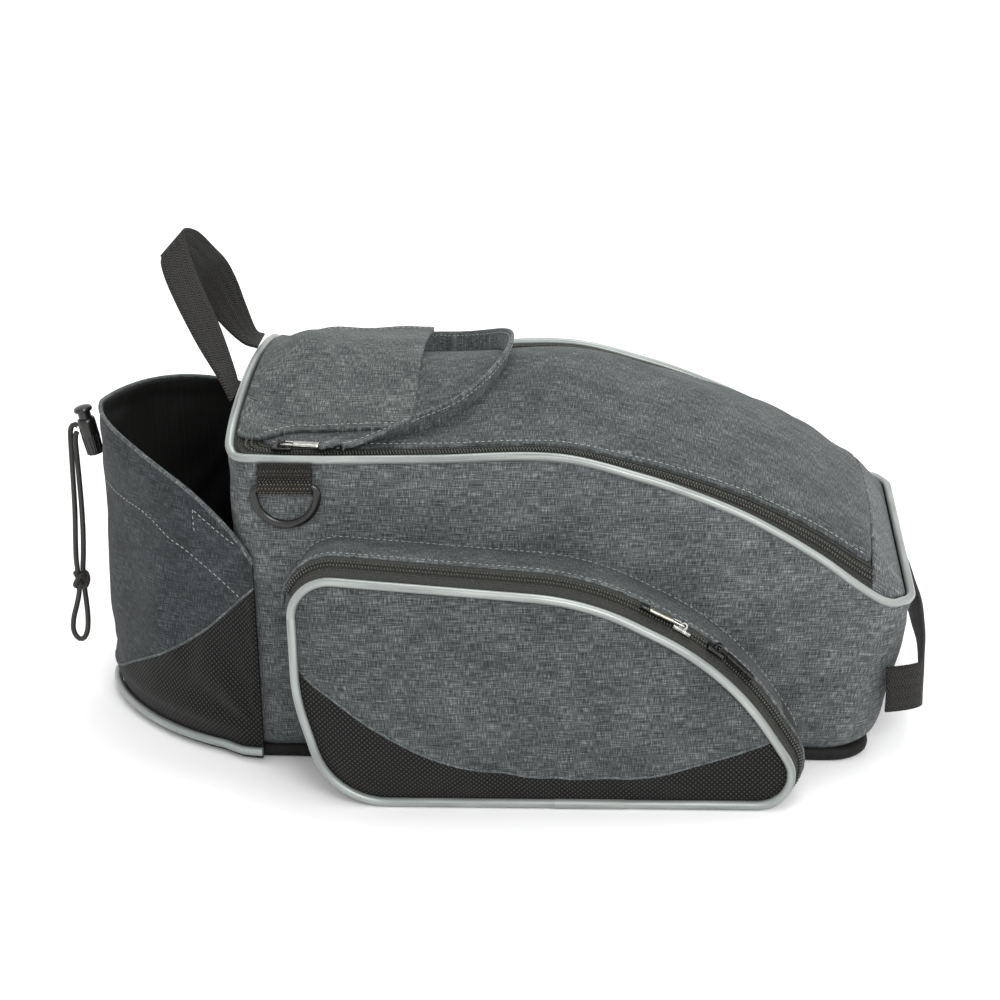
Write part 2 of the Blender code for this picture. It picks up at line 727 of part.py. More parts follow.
def bar_offset():
    """Distance of the ring's bar from the bag's centre plane."""
    return SIDE_FACE + RING_WIRE / 2 + RING_CLEARANCE + TAB_LAYER


def make_tab(name, x, side):
    """Webbing folded round the ring's bar, its two layers sewn flat to the side wall."""
    bore = RING_WIRE / 2 + RING_CLEARANCE
    outer = bore + TAB_LAYER
    out = bar_offset()
    wall = out - SIDE_FACE
    flat = wall - 2 * TAB_LAYER
    profile = [(wall, TAB_DROP), (flat, TAB_DROP), (flat, outer * 0.95)]
    for turn in steps(0.35 * pi, -pi / 2, 7)[1:]:
        profile.append((-outer * cos(turn), outer * sin(turn)))
    profile.append((wall, -outer))
    hole = circle(bore, 12)
    frame = frame_matrix((x, side * out, tab_height(x)), (0, -side, 0), (0, 0, 1), (-side, 0, 0))
    return as_mesh(plate(name, [profile, hole], TAB_WIDTH, WEBBING_BLACK, frame))


def make_ring(name, x, side):
    """D-ring: a straight bar in the tab and a bow that hangs from it."""
    half = RING_SPAN / 2
    bow_centre = -(RING_DROP - half)
    points = []
    for corner in (-1, 1):
        arc = []
        for turn in steps(0.0, pi / 2, 2):
            arc.append((corner * (half - RING_CORNER * (1 - sin(turn))), -RING_CORNER * (1 - cos(turn))))
        points += arc if corner == 1 else list(reversed(arc))
    points += [(half * cos(turn), bow_centre - half * sin(turn)) for turn in steps(0.0, pi, 10)]
    bar = tab_height(x)
    path = [(x + u, side * bar_offset(), bar + v) for u, v in points]
    return tube(name, path, RING_WIRE, BLACK_PLASTIC, closed=True)


# Side pockets
def pocket_outline():
    """Closed outline of the pocket's face piping, from the top front corner."""
    corners = []
    for row in POCKET:
        corners.append((-POCKET_FRONT + POCKET_LENGTH * row.along,
                        POCKET_SOLE + (POCKET_HEIGHT - POCKET_SOLE) * row.up,
                        POCKET_LENGTH * row.rounding))
    return resample(rounded_outline(corners), POCKET_POINTS)


def pocket_normals(outline):
    """Outward directions of the outline, in its plane."""
    count = len(outline)
    normals = []
    for index in range(count):
        along = (outline[(index + 1) % count] - outline[index - 1]).normalized()
        normals.append(Vector((-along.y, along.x)))
    return normals


def pocket_ring(outline, normals, inset, depth, squeeze=1.0, floor=0.0):
    """One ring of the pocket at a depth from the body wall; squeeze draws it to the middle."""
    centre = sum(outline, Vector((0.0, 0.0))) / len(outline)
    row = []
    for point, normal in zip(outline, normals):
        moved = point - normal * inset
        moved = centre + (moved - centre) * squeeze
        row.append((moved.x, -SIDE_FACE - depth, max(moved.y, floor)))
    return row[::-1]


def make_pocket():
    """Pocket bag: a gusset off the side wall and a puffed face, open to the wall."""
    outline = pocket_outline()
    normals = pocket_normals(outline)
    depth = POCKET_DEPTH
    face = depth - POCKET_CREST * 0.3
    rows = [
        pocket_ring(outline, normals, -POCKET_FLARE, 0.0, floor=POCKET_SOLE),
        pocket_ring(outline, normals, -POCKET_FLARE * 0.6, depth * 0.45, floor=POCKET_SOLE),
        pocket_ring(outline, normals, POCKET_CREST * 0.3, depth - POCKET_CREST, floor=POCKET_SOLE),
        pocket_ring(outline, normals, POCKET_CREST, face, floor=POCKET_SOLE),
        pocket_ring(outline, normals, POCKET_CREST * 2.0, face + POCKET_BULGE * 0.45),
        pocket_ring(outline, normals, POCKET_CREST, face + POCKET_BULGE * 0.8, squeeze=0.68),
        pocket_ring(outline, normals, POCKET_CREST, face + POCKET_BULGE, squeeze=0.30),
    ]
    mesh = grid_mesh("near_pocket", rows, wrap=True)
    work = bmesh.new()
    work.from_mesh(mesh)
    work.verts.ensure_lookup_table()
    work.faces.new([work.verts[len(outline) * (len(rows) - 1) + place] for place in range(len(outline))])
    work.to_mesh(mesh)
    work.free()
    thing = add_object("near_pocket", mesh, GREY_FABRIC)
    solidify = thing.modifiers.new("wall", "SOLIDIFY")
    solidify.thickness = POCKET_WALL
    solidify.offset = -1.0
    solidify.use_even_offset = True
    mesh.shade_smooth()
    return thing


def make_pocket_piping():
    outline = pocket_outline()
    depth = SIDE_FACE + POCKET_DEPTH
    points = [(point.x, -depth, point.y) for point in outline]
    return tube("near_pocket_piping", points, PIPING_DIAMETER, PIPING_SILVER, closed=True)


def pocket_zip_spot(share, across=0.5, lift=0.0):
    """Point on the pocket's zip, its direction and its outward normal."""
    outline = pocket_outline()
    normals = pocket_normals(outline)
    place = share * len(outline)
    first = int(place) % len(outline)
    second = (first + 1) % len(outline)
    part = place - int(place)
    point = outline[first].lerp(outline[second], part)
    normal = normals[first].lerp(normals[second], part).normalized()
    near = POCKET_DEPTH - POCKET_ZIP_SET
    depth = near - ZIP_WIDTH * across
    gusset = pocket_gusset_out(depth)
    spot = point + normal * (gusset + 3 * GAP + ZIP_THICKNESS + lift)
    along = Vector((normal.y, 0.0, -normal.x))
    return Vector((spot.x, -SIDE_FACE - depth, spot.y)), along, Vector((normal.x, 0.0, normal.y))


def pocket_gusset_out(depth):
    """How far the gusset stands outside the face's outline at a depth."""
    middle = POCKET_DEPTH * 0.45
    crest = POCKET_DEPTH - POCKET_CREST
    part = min(max((depth - middle) / (crest - middle), 0.0), 1.0)
    return POCKET_FLARE * 0.6 * (1 - part) - POCKET_CREST * 0.3 * part


def make_pocket_zip():
    """Zip tape along the top of the gusset, beside the piping."""
    first = ceil(POCKET_ZIP_START * POCKET_POINTS)
    last = ceil(POCKET_ZIP_END * POCKET_POINTS)
    rows = []
    for across, ridge in zip_columns(0.0, ZIP_WIDTH):
        row = []
        for place in range(first, last + 1):
            row.append(pocket_zip_spot(place / POCKET_POINTS, across / ZIP_WIDTH, ridge)[0])
        rows.append(row)
    return shell("near_pocket_zip", rows, ZIP_THICKNESS, ZIP_BLACK)


# Zip sliders and pullers
def make_slider(name, frame):
    """Slider body over the teeth, with an arch that holds the puller's rail."""
    work = bmesh.new()
    bmesh.ops.create_cube(work, size=1.0)
    bmesh.ops.scale(work, verts=work.verts, vec=(SLIDER_LENGTH, SLIDER_WIDTH, SLIDER_HEIGHT))
    bmesh.ops.translate(work, verts=work.verts, vec=(0.0, 0.0, SLIDER_HEIGHT / 2))
    nose = [vert for vert in work.verts if vert.co.x > 0]
    bmesh.ops.scale(work, verts=nose, vec=(1.0, 0.75, 1.0))
    bmesh.ops.transform(work, verts=work.verts, matrix=frame)
    mesh = bpy.data.meshes.new(name)
    work.to_mesh(mesh)
    work.free()
    body = add_object(name, mesh, DARK_METAL)
    bevel = body.modifiers.new("edges", "BEVEL")
    bevel.width = SLIDER_HEIGHT / 5
    bevel.segments = 1
    outer = ARCH_HOLE + ARCH_WALL
    profile = [(outer * cos(turn), outer * sin(turn)) for turn in steps(0.0, pi, 8)]
    root = -outer * 1.5
    profile += [(-outer * 1.3, root), (outer * 1.3, root)]
    pivot = puller_pivot(frame)
    across = frame.col[1].to_3d()
    lying = frame_matrix(pivot, frame.col[0].to_3d(), frame.col[2].to_3d(), -across)
    arch = plate(name + "_arch", [profile, circle(ARCH_HOLE, 10)], ARCH_WIDTH, DARK_METAL, lying, TOOLS)
    boolean(body, as_mesh(arch), "UNION")
    return body


def puller_pivot(frame):
    """Centre of the arch's hole, where the puller's rail turns."""
    height = SLIDER_HEIGHT + ARCH_HOLE + ARCH_WALL * 0.4
    return frame @ Vector((0.0, 0.0, height))


def make_puller(name, frame, tilt):
    """Flat puller whose end rail passes through the slider's arch."""
    half = PULLER_WIDTH / 2
    rail = PULLER_RAIL / 2
    tip = PULLER_LENGTH - rail
    outline = [(-rail, -half), (tip * 0.6, -half), (tip - half, -half * 0.9)]
    outline += [(tip - half + half * sin(turn), -half * 0.9 * cos(turn)) for turn in steps(0.0, pi, 6)[1:-1]]
    outline += [(tip - half, half * 0.9), (tip * 0.6, half), (-rail, half)]
    inner = PULLER_WINDOW / 2
    window = [(rail, -inner), (rail + PULLER_WINDOW, -inner), (rail + PULLER_WINDOW, inner), (rail, inner)]
    turned = frame.to_3x3() @ Matrix.Rotation(tilt, 3, "Y")
    lying = turned.to_4x4()
    lying.translation = puller_pivot(frame)
    return as_mesh(plate(name, [outline, window], PULLER_THICKNESS, DARK_METAL, lying))


def main_slider_frame():
    """Local frame of the near main slider: along the zip, across it and up."""
    inset = TOP_INSET + ZIP_WIDTH / 2
    x, y = -MAIN_SLIDER_REACH, -HALF_WIDTH + inset
    step = 0.002
    along = Vector((2 * step, 0.0, top_height(x + step, y) - top_height(x - step, y)))
    across = Vector((0.0, 2 * step, top_height(x, y + step) - top_height(x, y - step)))
    out = along.cross(across).normalized()
    lift = ZIP_RIDGE_HEIGHT + GAP * 3
    origin = Vector((x, y, top_height(x, y))) + out * lift
    return frame_matrix(origin, along, out.cross(along), out)


def pocket_slider_frame(x, reverse):
    """Local frame of a slider on the pocket's zip at x, its puller pointing along the zip."""
    low, high = POCKET_ZIP_START, POCKET_ZIP_END
    for _ in range(30):
        share = (low + high) / 2
        if pocket_zip_spot(share)[0].x < x:
            low = share
        else:
            high = share
    point, along, out = pocket_zip_spot(share)
    if reverse:
        along = -along
    origin = point + out * (ZIP_RIDGE_HEIGHT + GAP * 3)
    return frame_matrix(origin, along, out.cross(along), out)


# Bottle pocket
def bottle_plan(inset=0.0, lean=0.0, out=0.0):
    """Plan line of the bottle pocket, near end to far end; an inset fades out beside the body."""
    start = -FRONT_REACH + FRONT_CORNER
    reach = BOTTLE_REACH + FRONT_CORNER - lean + out
    half = SIDE_FACE + BOTTLE_WALL + out
    points = []
    for turn in steps(-pi / 2, pi / 2, BOTTLE_STEPS):
        forward = max(cos(turn), 0.0) ** (2 / BOTTLE_POWER)
        across = abs(sin(turn)) ** (2 / BOTTLE_POWER) * (1 if turn > 0 else -1)
        fade = min(max(reach * forward / FRONT_CORNER - 1, 0.0), 1.0)
        points.append((start - (reach - inset) * forward, (half - inset * fade) * across))
    return points


def make_bottle_pocket():
    """Open-topped pocket wall across the front, drawn in at its foot for the piping."""
    edge = []
    lip = bottle_plan(lean=BOTTLE_HEAD_LEAN)
    for index, (x, y) in enumerate(lip):
        share = 1 - abs(2 * index / BOTTLE_STEPS - 1)
        edge.append((x, y, BOTTLE_HEIGHT * read_table(BOTTLE, share, "height")))
    knee = BOTTLE_PIPING_HEIGHT + 1.5 * PIPING_DIAMETER
    low = bottle_plan(PIPING_RADIUS / 2)
    rows = [edge]
    for share in (0.35, 0.7, 1.0):
        rows.append([(tx + (fx - tx) * share, ty + (fy - ty) * share, tz + (knee - tz) * share)
                     for (tx, ty, tz), (fx, fy) in zip(edge, low)])
    for height in (BOTTLE_PIPING_HEIGHT, BOTTLE_SOLE):
        rows.append([(x, y, height) for x, y in bottle_plan(BOTTLE_WAIST)])
    return shell("bottle_pocket", rows, BOTTLE_WALL, GREY_FABRIC)


def make_bottle_base():
    """Flat sole inside the foot of the bottle pocket."""
    wall = -FRONT_REACH - 2 * GAP
    inner = bottle_plan(BOTTLE_WAIST, out=-BOTTLE_WALL - 3 * GAP)
    outline = [(x, y) for x, y in inner if x < wall - BOTTLE_WALL]
    outline = [(wall, outline[0][1])] + outline + [(wall, outline[-1][1])]
    frame = frame_matrix((0, 0, BOTTLE_SOLE + BOTTLE_WALL / 2), (1, 0, 0), (0, 1, 0), (0, 0, 1))
    return as_mesh(plate("bottle_pocket_base", [outline], BOTTLE_WALL, BLACK_FABRIC, frame))


def make_bottle_piping():
    plan = bottle_plan(BOTTLE_WAIST, out=(PIPING_RADIUS + GAP) * 1.15)
    points = [(x, y, BOTTLE_PIPING_HEIGHT) for x, y in plan]
    return tube("bottle_pocket_piping", points, PIPING_DIAMETER, PIPING_SILVER)


# Cord lock
def turned_solid(name, profile, finish, frame, sides=LOCK_SIDES):
    """A solid turned about the frame's Z axis, its profile running down the outer side."""
    rows = []
    for radius, height in profile:
        rows.append([(radius * cos(angle), radius * sin(angle), height)
                     for angle in [2 * pi * index / sides for index in range(sides)]])
    mesh = grid_mesh(name, [list(reversed(row)) for row in rows], wrap=True)
    work = bmesh.new()
    work.from_mesh(mesh)
    work.verts.ensure_lookup_table()
    last = (len(rows) - 1) * sides
    work.faces.new([work.verts[index] for index in range(sides)])
    work.faces.new([work.verts[last + index] for index in range(sides)])
    bmesh.ops.recalc_face_normals(work, faces=work.faces)
    bmesh.ops.transform(work, verts=work.verts, matrix=frame)
    work.to_mesh(mesh)
    work.free()
    mesh.shade_smooth()
    mesh.set_sharp_from_angle(angle=0.7)
    return add_object(name, mesh, finish)


def lock_frame():
    """Frame of the cord lock at its foot, Z along the barrel, clear of the pocket's lip."""
    lean = BOTTLE_HEAD_LEAN * LOCK_FOOT_HEIGHT / BOTTLE_HEIGHT
    face = -FRONT_REACH - BOTTLE_REACH + lean
    x = face - LOCK_RADIUS * LOCK_SEAT / cos(LOCK_TILT)
    axis = Vector((-sin(LOCK_TILT), 0.0, cos(LOCK_TILT)))
    side = Vector((0.0, 1.0, 0.0))
    return frame_matrix((x, 0.0, LOCK_FOOT_HEIGHT), side.cross(axis), side, axis)


def make_lock():
    """Barrel with a blind bore for the sprung button."""
    floor = LOCK_LENGTH - LOCK_BORE_DEPTH
    profile = [(LOCK_BORE, floor), (LOCK_BORE, LOCK_LENGTH), (LOCK_RADIUS * 0.93, LOCK_LENGTH),
               (LOCK_RADIUS, LOCK_LENGTH * 0.9), (LOCK_RADIUS, LOCK_LENGTH * 0.55),
               (LOCK_RADIUS * 0.88, LOCK_LENGTH * 0.06), (LOCK_RADIUS * 0.75, 0.0)]
    return turned_solid("cord_lock", profile, BLACK_PLASTIC, lock_frame())


def make_button():
    """Push button: a stem that slides in the barrel under a domed head."""
    neck = LOCK_LENGTH + BUTTON_TRAVEL + GAP
    top = neck + BUTTON_HEAD_HEIGHT
    foot = neck - BUTTON_STEM_LENGTH
    profile = [(BUTTON_HEAD * 0.35, top), (BUTTON_HEAD * 0.8, top - BUTTON_HEAD_HEIGHT * 0.25),
               (BUTTON_HEAD, top - BUTTON_HEAD_HEIGHT * 0.65), (BUTTON_HEAD * 0.92, neck),
               (BUTTON_STEM, neck), (BUTTON_STEM, foot)]
    return turned_solid("lock_button", profile, BLACK_PLASTIC, lock_frame())


def make_cord():
    return tube("elastic_cord", smooth_route(CORD_ROUTE, CORD_POINTS), CORD_DIAMETER, WEBBING_BLACK)


def make_knot():
    """Overhand knot round the doubled cord."""
    x = -KNOT_REACH
    half = KNOT_LENGTH / 2
    bore = CORD_DIAMETER / 2 + STRAND_OFFSET + GAP
    profile = [(bore, half), (KNOT_RADIUS * 0.9, half * 0.8), (KNOT_RADIUS, half * 0.2),
               (KNOT_RADIUS, -half * 0.3), (KNOT_RADIUS * 0.85, -half * 0.85), (bore, -half), (bore, 0.0)]
    rows = []
    sides = 12
    for radius, height in profile:
        rows.append([(x + radius * cos(2 * pi * index / sides), radius * sin(2 * pi * index / sides),
                      KNOT_HEIGHT + height) for index in range(sides)])
    rows.append(rows[0])
    mesh = grid_mesh("cord_knot", rows, wrap=True)
    work = bmesh.new()
    work.from_mesh(mesh)
    bmesh.ops.remove_doubles(work, verts=work.verts, dist=1e-6)
    bmesh.ops.recalc_face_normals(work, faces=work.faces)
    work.to_mesh(mesh)
    work.free()
    mesh.shade_smooth()
    return add_object("cord_knot", mesh, WEBBING_BLACK)


clear_scene()
BAG = make_collection("bicycle_trunk_bag")
TOOLS = make_collection("cutters", hidden=True)

make_body_wall()
make_base()
make_top_piping()
make_main_zip()
make_lid()
make_rear_panel()
make_flap()
make_band()
make_front_handle()
make_rear_strap()
for side_name, tab_x, side_sign in (("near", -TAB_REACH, -1), ("far", FAR_TAB_REACH, 1)):
    make_tab(side_name + "_ring_tab", tab_x, side_sign)
    make_ring(side_name + "_d_ring", tab_x, side_sign)
mirrored(make_pocket(), "far_pocket")
mirrored(make_pocket_piping(), "far_pocket_piping")
mirrored(make_pocket_zip(), "far_pocket_zip")
SLIDERS = [
    ("main", main_slider_frame(), 0.02),
    ("pocket_front", pocket_slider_frame(POCKET_SLIDER_REACH - POCKET_SLIDER_SPACING / 2, True), 0.06),
    ("pocket_rear", pocket_slider_frame(POCKET_SLIDER_REACH + POCKET_SLIDER_SPACING / 2, False), 0.10),
]
for slider_name, slider_frame, droop in SLIDERS:
    mirrored(make_slider("near_" + slider_name + "_slider", slider_frame),
             "far_" + slider_name + "_slider")
    mirrored(make_puller("near_" + slider_name + "_puller", slider_frame, droop),
             "far_" + slider_name + "_puller")
make_bottle_pocket()
make_bottle_base()
make_bottle_piping()
make_lock()
make_button()
make_cord()
make_knot()
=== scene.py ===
"""Bicycle trunk bag: the looks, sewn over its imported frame.

Metres, +Z up, as the frame is. -X is the end with the bottle pocket, -Y the near side.
Every cloth piece carries a UV map in metres along its own threads.
"""
import json
from math import atan2, cos, exp, hypot, pi, radians, sin, sqrt, tan

import bmesh
import bpy
from mathutils import Matrix, Quaternion, Vector, noise
from mathutils.bvhtree import BVHTree


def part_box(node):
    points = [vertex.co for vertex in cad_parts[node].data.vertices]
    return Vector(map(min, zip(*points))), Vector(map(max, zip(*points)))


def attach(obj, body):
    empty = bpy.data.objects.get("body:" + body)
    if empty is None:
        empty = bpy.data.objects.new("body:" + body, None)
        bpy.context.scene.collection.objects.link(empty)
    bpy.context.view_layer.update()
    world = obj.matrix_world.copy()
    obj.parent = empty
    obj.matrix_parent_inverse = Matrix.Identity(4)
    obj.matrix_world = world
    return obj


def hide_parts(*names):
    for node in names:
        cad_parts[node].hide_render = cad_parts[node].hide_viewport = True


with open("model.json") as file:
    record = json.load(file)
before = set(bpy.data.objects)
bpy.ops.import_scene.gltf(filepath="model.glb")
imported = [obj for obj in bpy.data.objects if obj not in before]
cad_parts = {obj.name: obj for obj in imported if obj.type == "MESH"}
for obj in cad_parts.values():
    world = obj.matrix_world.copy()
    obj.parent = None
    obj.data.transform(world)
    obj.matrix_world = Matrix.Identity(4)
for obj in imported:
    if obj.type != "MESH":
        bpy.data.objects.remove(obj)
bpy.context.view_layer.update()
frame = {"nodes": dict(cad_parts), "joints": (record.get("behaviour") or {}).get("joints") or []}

# Sizes that the pieces share with the frame
FRONT_REACH = 0.182
REAR_REACH = 0.195
HALF_WIDTH = 0.1055
FRONT_HEIGHT = 0.182
REAR_HEIGHT = 0.0945
REAR_RAKE = 0.022
FRONT_CORNER = 0.012
REAR_CORNER = 0.022
BASE_HEIGHT = 0.008
CROWN_RISE = 0.022
CROWN_RUNOUT = 0.020
CROWN_POWER = 6
PIPING_RADIUS = 0.0024
PIPING_INSET = 0.001
TOP_INSET = 0.0043
ZIP_WIDTH = 0.013
LID_INSET = 0.0176
SEAM_REACH = 0.171
SEAM_BOW = 0.004
FLAP_FRONT = -0.1762
FLAP_LENGTH = 0.094
FLAP_HALF_WIDTH = 0.075
FLAP_LIFT = 0.017
FLAP_THICKNESS = 0.0018
FLAP_CLEAR = 0.0035
SIDE_FACE = 0.1058
POCKET_DEPTH = 0.057
POCKET_CREST = 0.0031
GUSSET_AT_WALL = 0.0040
GUSSET_AT_FOLD = 0.0066
POCKET_BULGE = 0.006
POCKET_ZIP_SET = 0.0065
POCKET_SOLE = 0.003
POCKET_FRONT = -0.141
POCKET_LENGTH = 0.280
POCKET_HEIGHT = 0.135
BOTTLE_REACH = 0.095
BOTTLE_WALL = 0.0025
BOTTLE_HEIGHT = 0.182
BOTTLE_POWER = 1.6
BOTTLE_WAIST = 0.0042
BOTTLE_PIPING_HEIGHT = 0.007
WEBBING_THICKNESS = 0.0018
HANDLE_WIDTH = 0.025
CORD_DIAMETER = 0.0032
STITCH_LIFT = 0.0002
FOLD_LIFT = 0.0001
FOLD_RADIUS = 0.0008
SLIDER_BEVEL = 0.00025

# Tables: the first column is a share along the piece
RIM = [(0, 1), (.12, .985), (.30, .99), (.48, 1), (.60, .87), (.69, .73), (.77, .57), (.86, .33),
       (.92, .135), (.96, .03), (1, 0)]
CROWN = [(0, 1), (.02, .45), (.05, .10), (.12, 0), (.5, 0), (.75, .4), (.93, .9), (1, 1)]
FLAP_WIDTH = [(0, 1.22), (.12, 1.16), (.28, 1.01), (.45, 1.0), (.70, .97), (1, .93)]
FLAP_RISE = [(0, 0), (.12, .40), (.28, .72), (.45, .58), (.70, .34), (1, .16)]
FLAP_FAR_LIFT = 0.0145
BAND_FLAT_REACH = -0.075        # ahead of this X the band lies down under the flap
BOTTLE_EDGE = [(0, .66), (.15, .79), (.32, .89), (.60, .965), (1, .985)]
# Front handle's middle line in metres, and the direction of the webbing's width
HANDLE = [  # along, x, y, z, wide_x, wide_y, wide_z
    (.00, -.1815, -.0660, .2062, .00, -1, .00), (.12, -.1850, -.0655, .2170, -.10, -1, .00),
    (.28, -.1960, -.0620, .2420, -.35, -.92, -.05), (.42, -.2090, -.0560, .2710, -.40, -.90, -.12),
    (.50, -.2142, -.0480, .2868, -.37, -.85, -.35), (.56, -.2112, -.0340, .2822, -.45, -.65, -.55),
    (.64, -.2060, -.0140, .2665, -.52, -.45, -.68), (.71, -.2025, .0060, .2520, -.55, -.45, -.70),
    (.80, -.1955, .0170, .2290, -.45, -.85, -.20), (.90, -.1880, .0260, .2115, -.15, -1, .00),
    (1., -.1815, .0300, .2068, .00, -1, .00)]
# Side pocket's corners: share of its length, share of its height, rounding as a share of its length
POCKET = [(.0, 1., .075), (.56, .9, .50), (.83, .6, .55), (1.005, 0, .065), (.06, 0, .24),
          (0, .48, .40)]
# Seam between the grey and the black cloth, as X and Z
POCKET_SEAM = [(-.141, .083), (-.127, .070), (-.101, .051), (-.069, .033), (-.031, .023), (.001, .020),
               (.044, .021), (.077, .028), (.103, .036), (.128, .047)]
BOTTLE_SEAM = [(-.280, .020), (-.268, .024), (-.252, .038), (-.231, .053), (-.202, .076), (-.181, .096),
               (-.168, .108)]
# The cord's middle line, from the lock's top through the knot to its loop and back
CORD_ROUTE = [
    (-0.2889, 0.0018, 0.1636), (-0.2911, 0.0018, 0.1646), (-0.2931, 0.0016, 0.1625),
    (-0.2938, 0.0012, 0.1570), (-0.2940, 0.0006, 0.1450), (-0.2942, 0.0000, 0.1300),
    (-0.2948, -0.0002, 0.1100), (-0.2960, -0.0002, 0.0920), (-0.2967, 0.0000, 0.0800),
    (-0.2965, 0.0000, 0.0725), (-0.2965, 0.0000, 0.0595), (-0.2987, 0.0004, 0.0500),
    (-0.3017, 0.0006, 0.0400), (-0.3023, 0.0005, 0.0320), (-0.2997, 0.0002, 0.0272),
    (-0.2962, -0.0002, 0.0275), (-0.2935, -0.0006, 0.0330), (-0.2925, -0.0006, 0.0420),
    (-0.2927, -0.0003, 0.0520), (-0.2931, 0.0000, 0.0595), (-0.2931, 0.0000, 0.0725),
    (-0.2921, 0.0000, 0.0820), (-0.2911, 0.0002, 0.0960), (-0.2906, 0.0002, 0.1120),
    (-0.2905, 0.0000, 0.1300), (-0.2905, -0.0006, 0.1450), (-0.2904, -0.0014, 0.1540),
    (-0.2898, -0.0018, 0.1592), (-0.2889, -0.0018, 0.1610)]
UP = Vector((0.0, 0.0, 1.0))


def placed(name, data):
    """A new object in the scene."""
    thing = bpy.data.objects.new(name, data)
    bpy.context.scene.collection.objects.link(thing)
    return thing


# Camera, at the angle from which the bag is seen, and soft studio light
def make_camera():
    azimuth, elevation, roll = radians(4.3), radians(20.8), radians(-1.46)
    target, distance = Vector((-0.03984, 0.0, 0.1177)), 1.4746
    back = Vector((sin(azimuth) * cos(elevation), -cos(azimuth) * cos(elevation), sin(elevation)))
    lens = bpy.data.cameras.new("camera")
    lens.lens = 90.0
    lens.sensor_width = 36.0
    lens.clip_start, lens.clip_end = 0.05, 50.0
    camera = placed("camera", lens)
    camera.location = target + back * distance
    camera.rotation_mode = "QUATERNION"
    camera.rotation_quaternion = (-back).to_track_quat("-Z", "Y") @ Quaternion((0, 0, 1), roll)
    bpy.context.scene.camera = camera


def make_lamp(name, place, aim, size, power):
    light = bpy.data.lights.new(name, "AREA")
    light.energy = power
    light.size = size
    lamp = placed(name, light)
    lamp.location = place
    lamp.rotation_mode = "QUATERNION"
    lamp.rotation_quaternion = (Vector(aim) - Vector(place)).to_track_quat("-Z", "Y")


def make_studio():
    middle = (-0.03, 0.0, 0.1)
    make_lamp("key_light", (0.7, -1.9, 1.3), middle, size=0.9, power=30.0)
    make_lamp("top_light", (0.3, 0.6, 2.0), middle, size=1.2, power=22.0)
    world = bpy.data.worlds.new("studio")
    world.use_nodes = True
    sky = world.node_tree.nodes["Background"].inputs
    sky["Color"].default_value = (1.0, 1.0, 1.0, 1.0)
    sky["Strength"].default_value = 1.0
    bpy.context.scene.world = world
    bpy.context.scene.view_settings.view_transform = "Standard"
    mesh = bpy.data.meshes.new("floor")
    span = 6.0
    corners = [(-span, -span, 0), (span, -span, 0), (span, span, 0), (-span, span, 0)]
    mesh.from_pydata(corners, [], [(0, 1, 2, 3)])
    mesh.materials.append(FLOOR)
    placed("floor", mesh)


# Materials
def linear(hex_colour):
    """sRGB hex value as linear red, green, blue, alpha."""
    parts = [int(hex_colour[index:index + 2], 16) / 255 for index in (0, 2, 4)]
    return tuple(c / 12.92 if c <= 0.04045 else ((c + 0.055) / 1.055) ** 2.4 for c in parts) + (1.0,)


def node(tree, kind, inputs=None, **settings):
    """Adds a node with its settings, values and links."""
    made = tree.nodes.new(kind)
    for name, value in settings.items():
        setattr(made, name, value)
    for name, value in (inputs or {}).items():
        if isinstance(value, bpy.types.NodeSocket):
            tree.links.new(value, made.inputs[name])
        else:
            made.inputs[name].default_value = value
    return made


def new_material(name, roughness, metallic=0.0, **shader_values):
    material = bpy.data.materials.new(name)
    material.use_nodes = True
    tree = material.node_tree
    shader = tree.nodes["Principled BSDF"]
    shader.inputs["Roughness"].default_value = roughness
    shader.inputs["Metallic"].default_value = metallic
    for key, value in shader_values.items():
        shader.inputs[key.replace("_", " ")].default_value = value
    return material, tree, shader


def math(tree, operation, first, second=0.0, third=0.0):
    return node(tree, "ShaderNodeMath", {0: first, 1: second, 2: third}, operation=operation).outputs[0]


def stretched_noise(tree, coords, wave_u, wave_v, detail=2.0):
    """Noise whose grains are wave_u by wave_v metres long on the cloth."""
    place = node(tree, "ShaderNodeMapping", {"Vector": coords, "Scale": (1 / wave_u, 1 / wave_v, 1.0)})
    return node(tree, "ShaderNodeTexNoise", {"Vector": place.outputs[0], "Scale": 1.0, "Detail": detail,
                                             "Roughness": 0.6}).outputs["Fac"]


def waves(tree, value, pitch):
    """Sine of a coordinate, one wave every pitch metres."""
    return math(tree, "SINE", math(tree, "MULTIPLY", value, 2 * pi / pitch))


def ramp(tree, value, stops):
    """Colour ramp of sRGB hex stops."""
    made = node(tree, "ShaderNodeValToRGB", {"Fac": value})
    elements = made.color_ramp.elements
    while len(elements) < len(stops):
        elements.new(0.5)
    for element, (place, colour) in zip(elements, stops):
        element.position = place
        element.color = linear(colour)
    return made.outputs["Color"]


def paint(tree, shader, value, stops):
    tree.links.new(ramp(tree, value, stops), shader.inputs["Base Color"])


def bump(tree, shader, height, distance, strength):
    made = node(tree, "ShaderNodeBump", {"Height": height, "Distance": distance, "Strength": strength})
    tree.links.new(made.outputs[0], shader.inputs["Normal"])


def cloth_coords(tree):
    uv = node(tree, "ShaderNodeUVMap", uv_map="weave").outputs[0]
    split = node(tree, "ShaderNodeSeparateXYZ", {0: uv})
    return uv, split.outputs[0], split.outputs[1]


THREAD = 0.00075                # real threads are 0.4 mm apart; drawn coarser so that they show


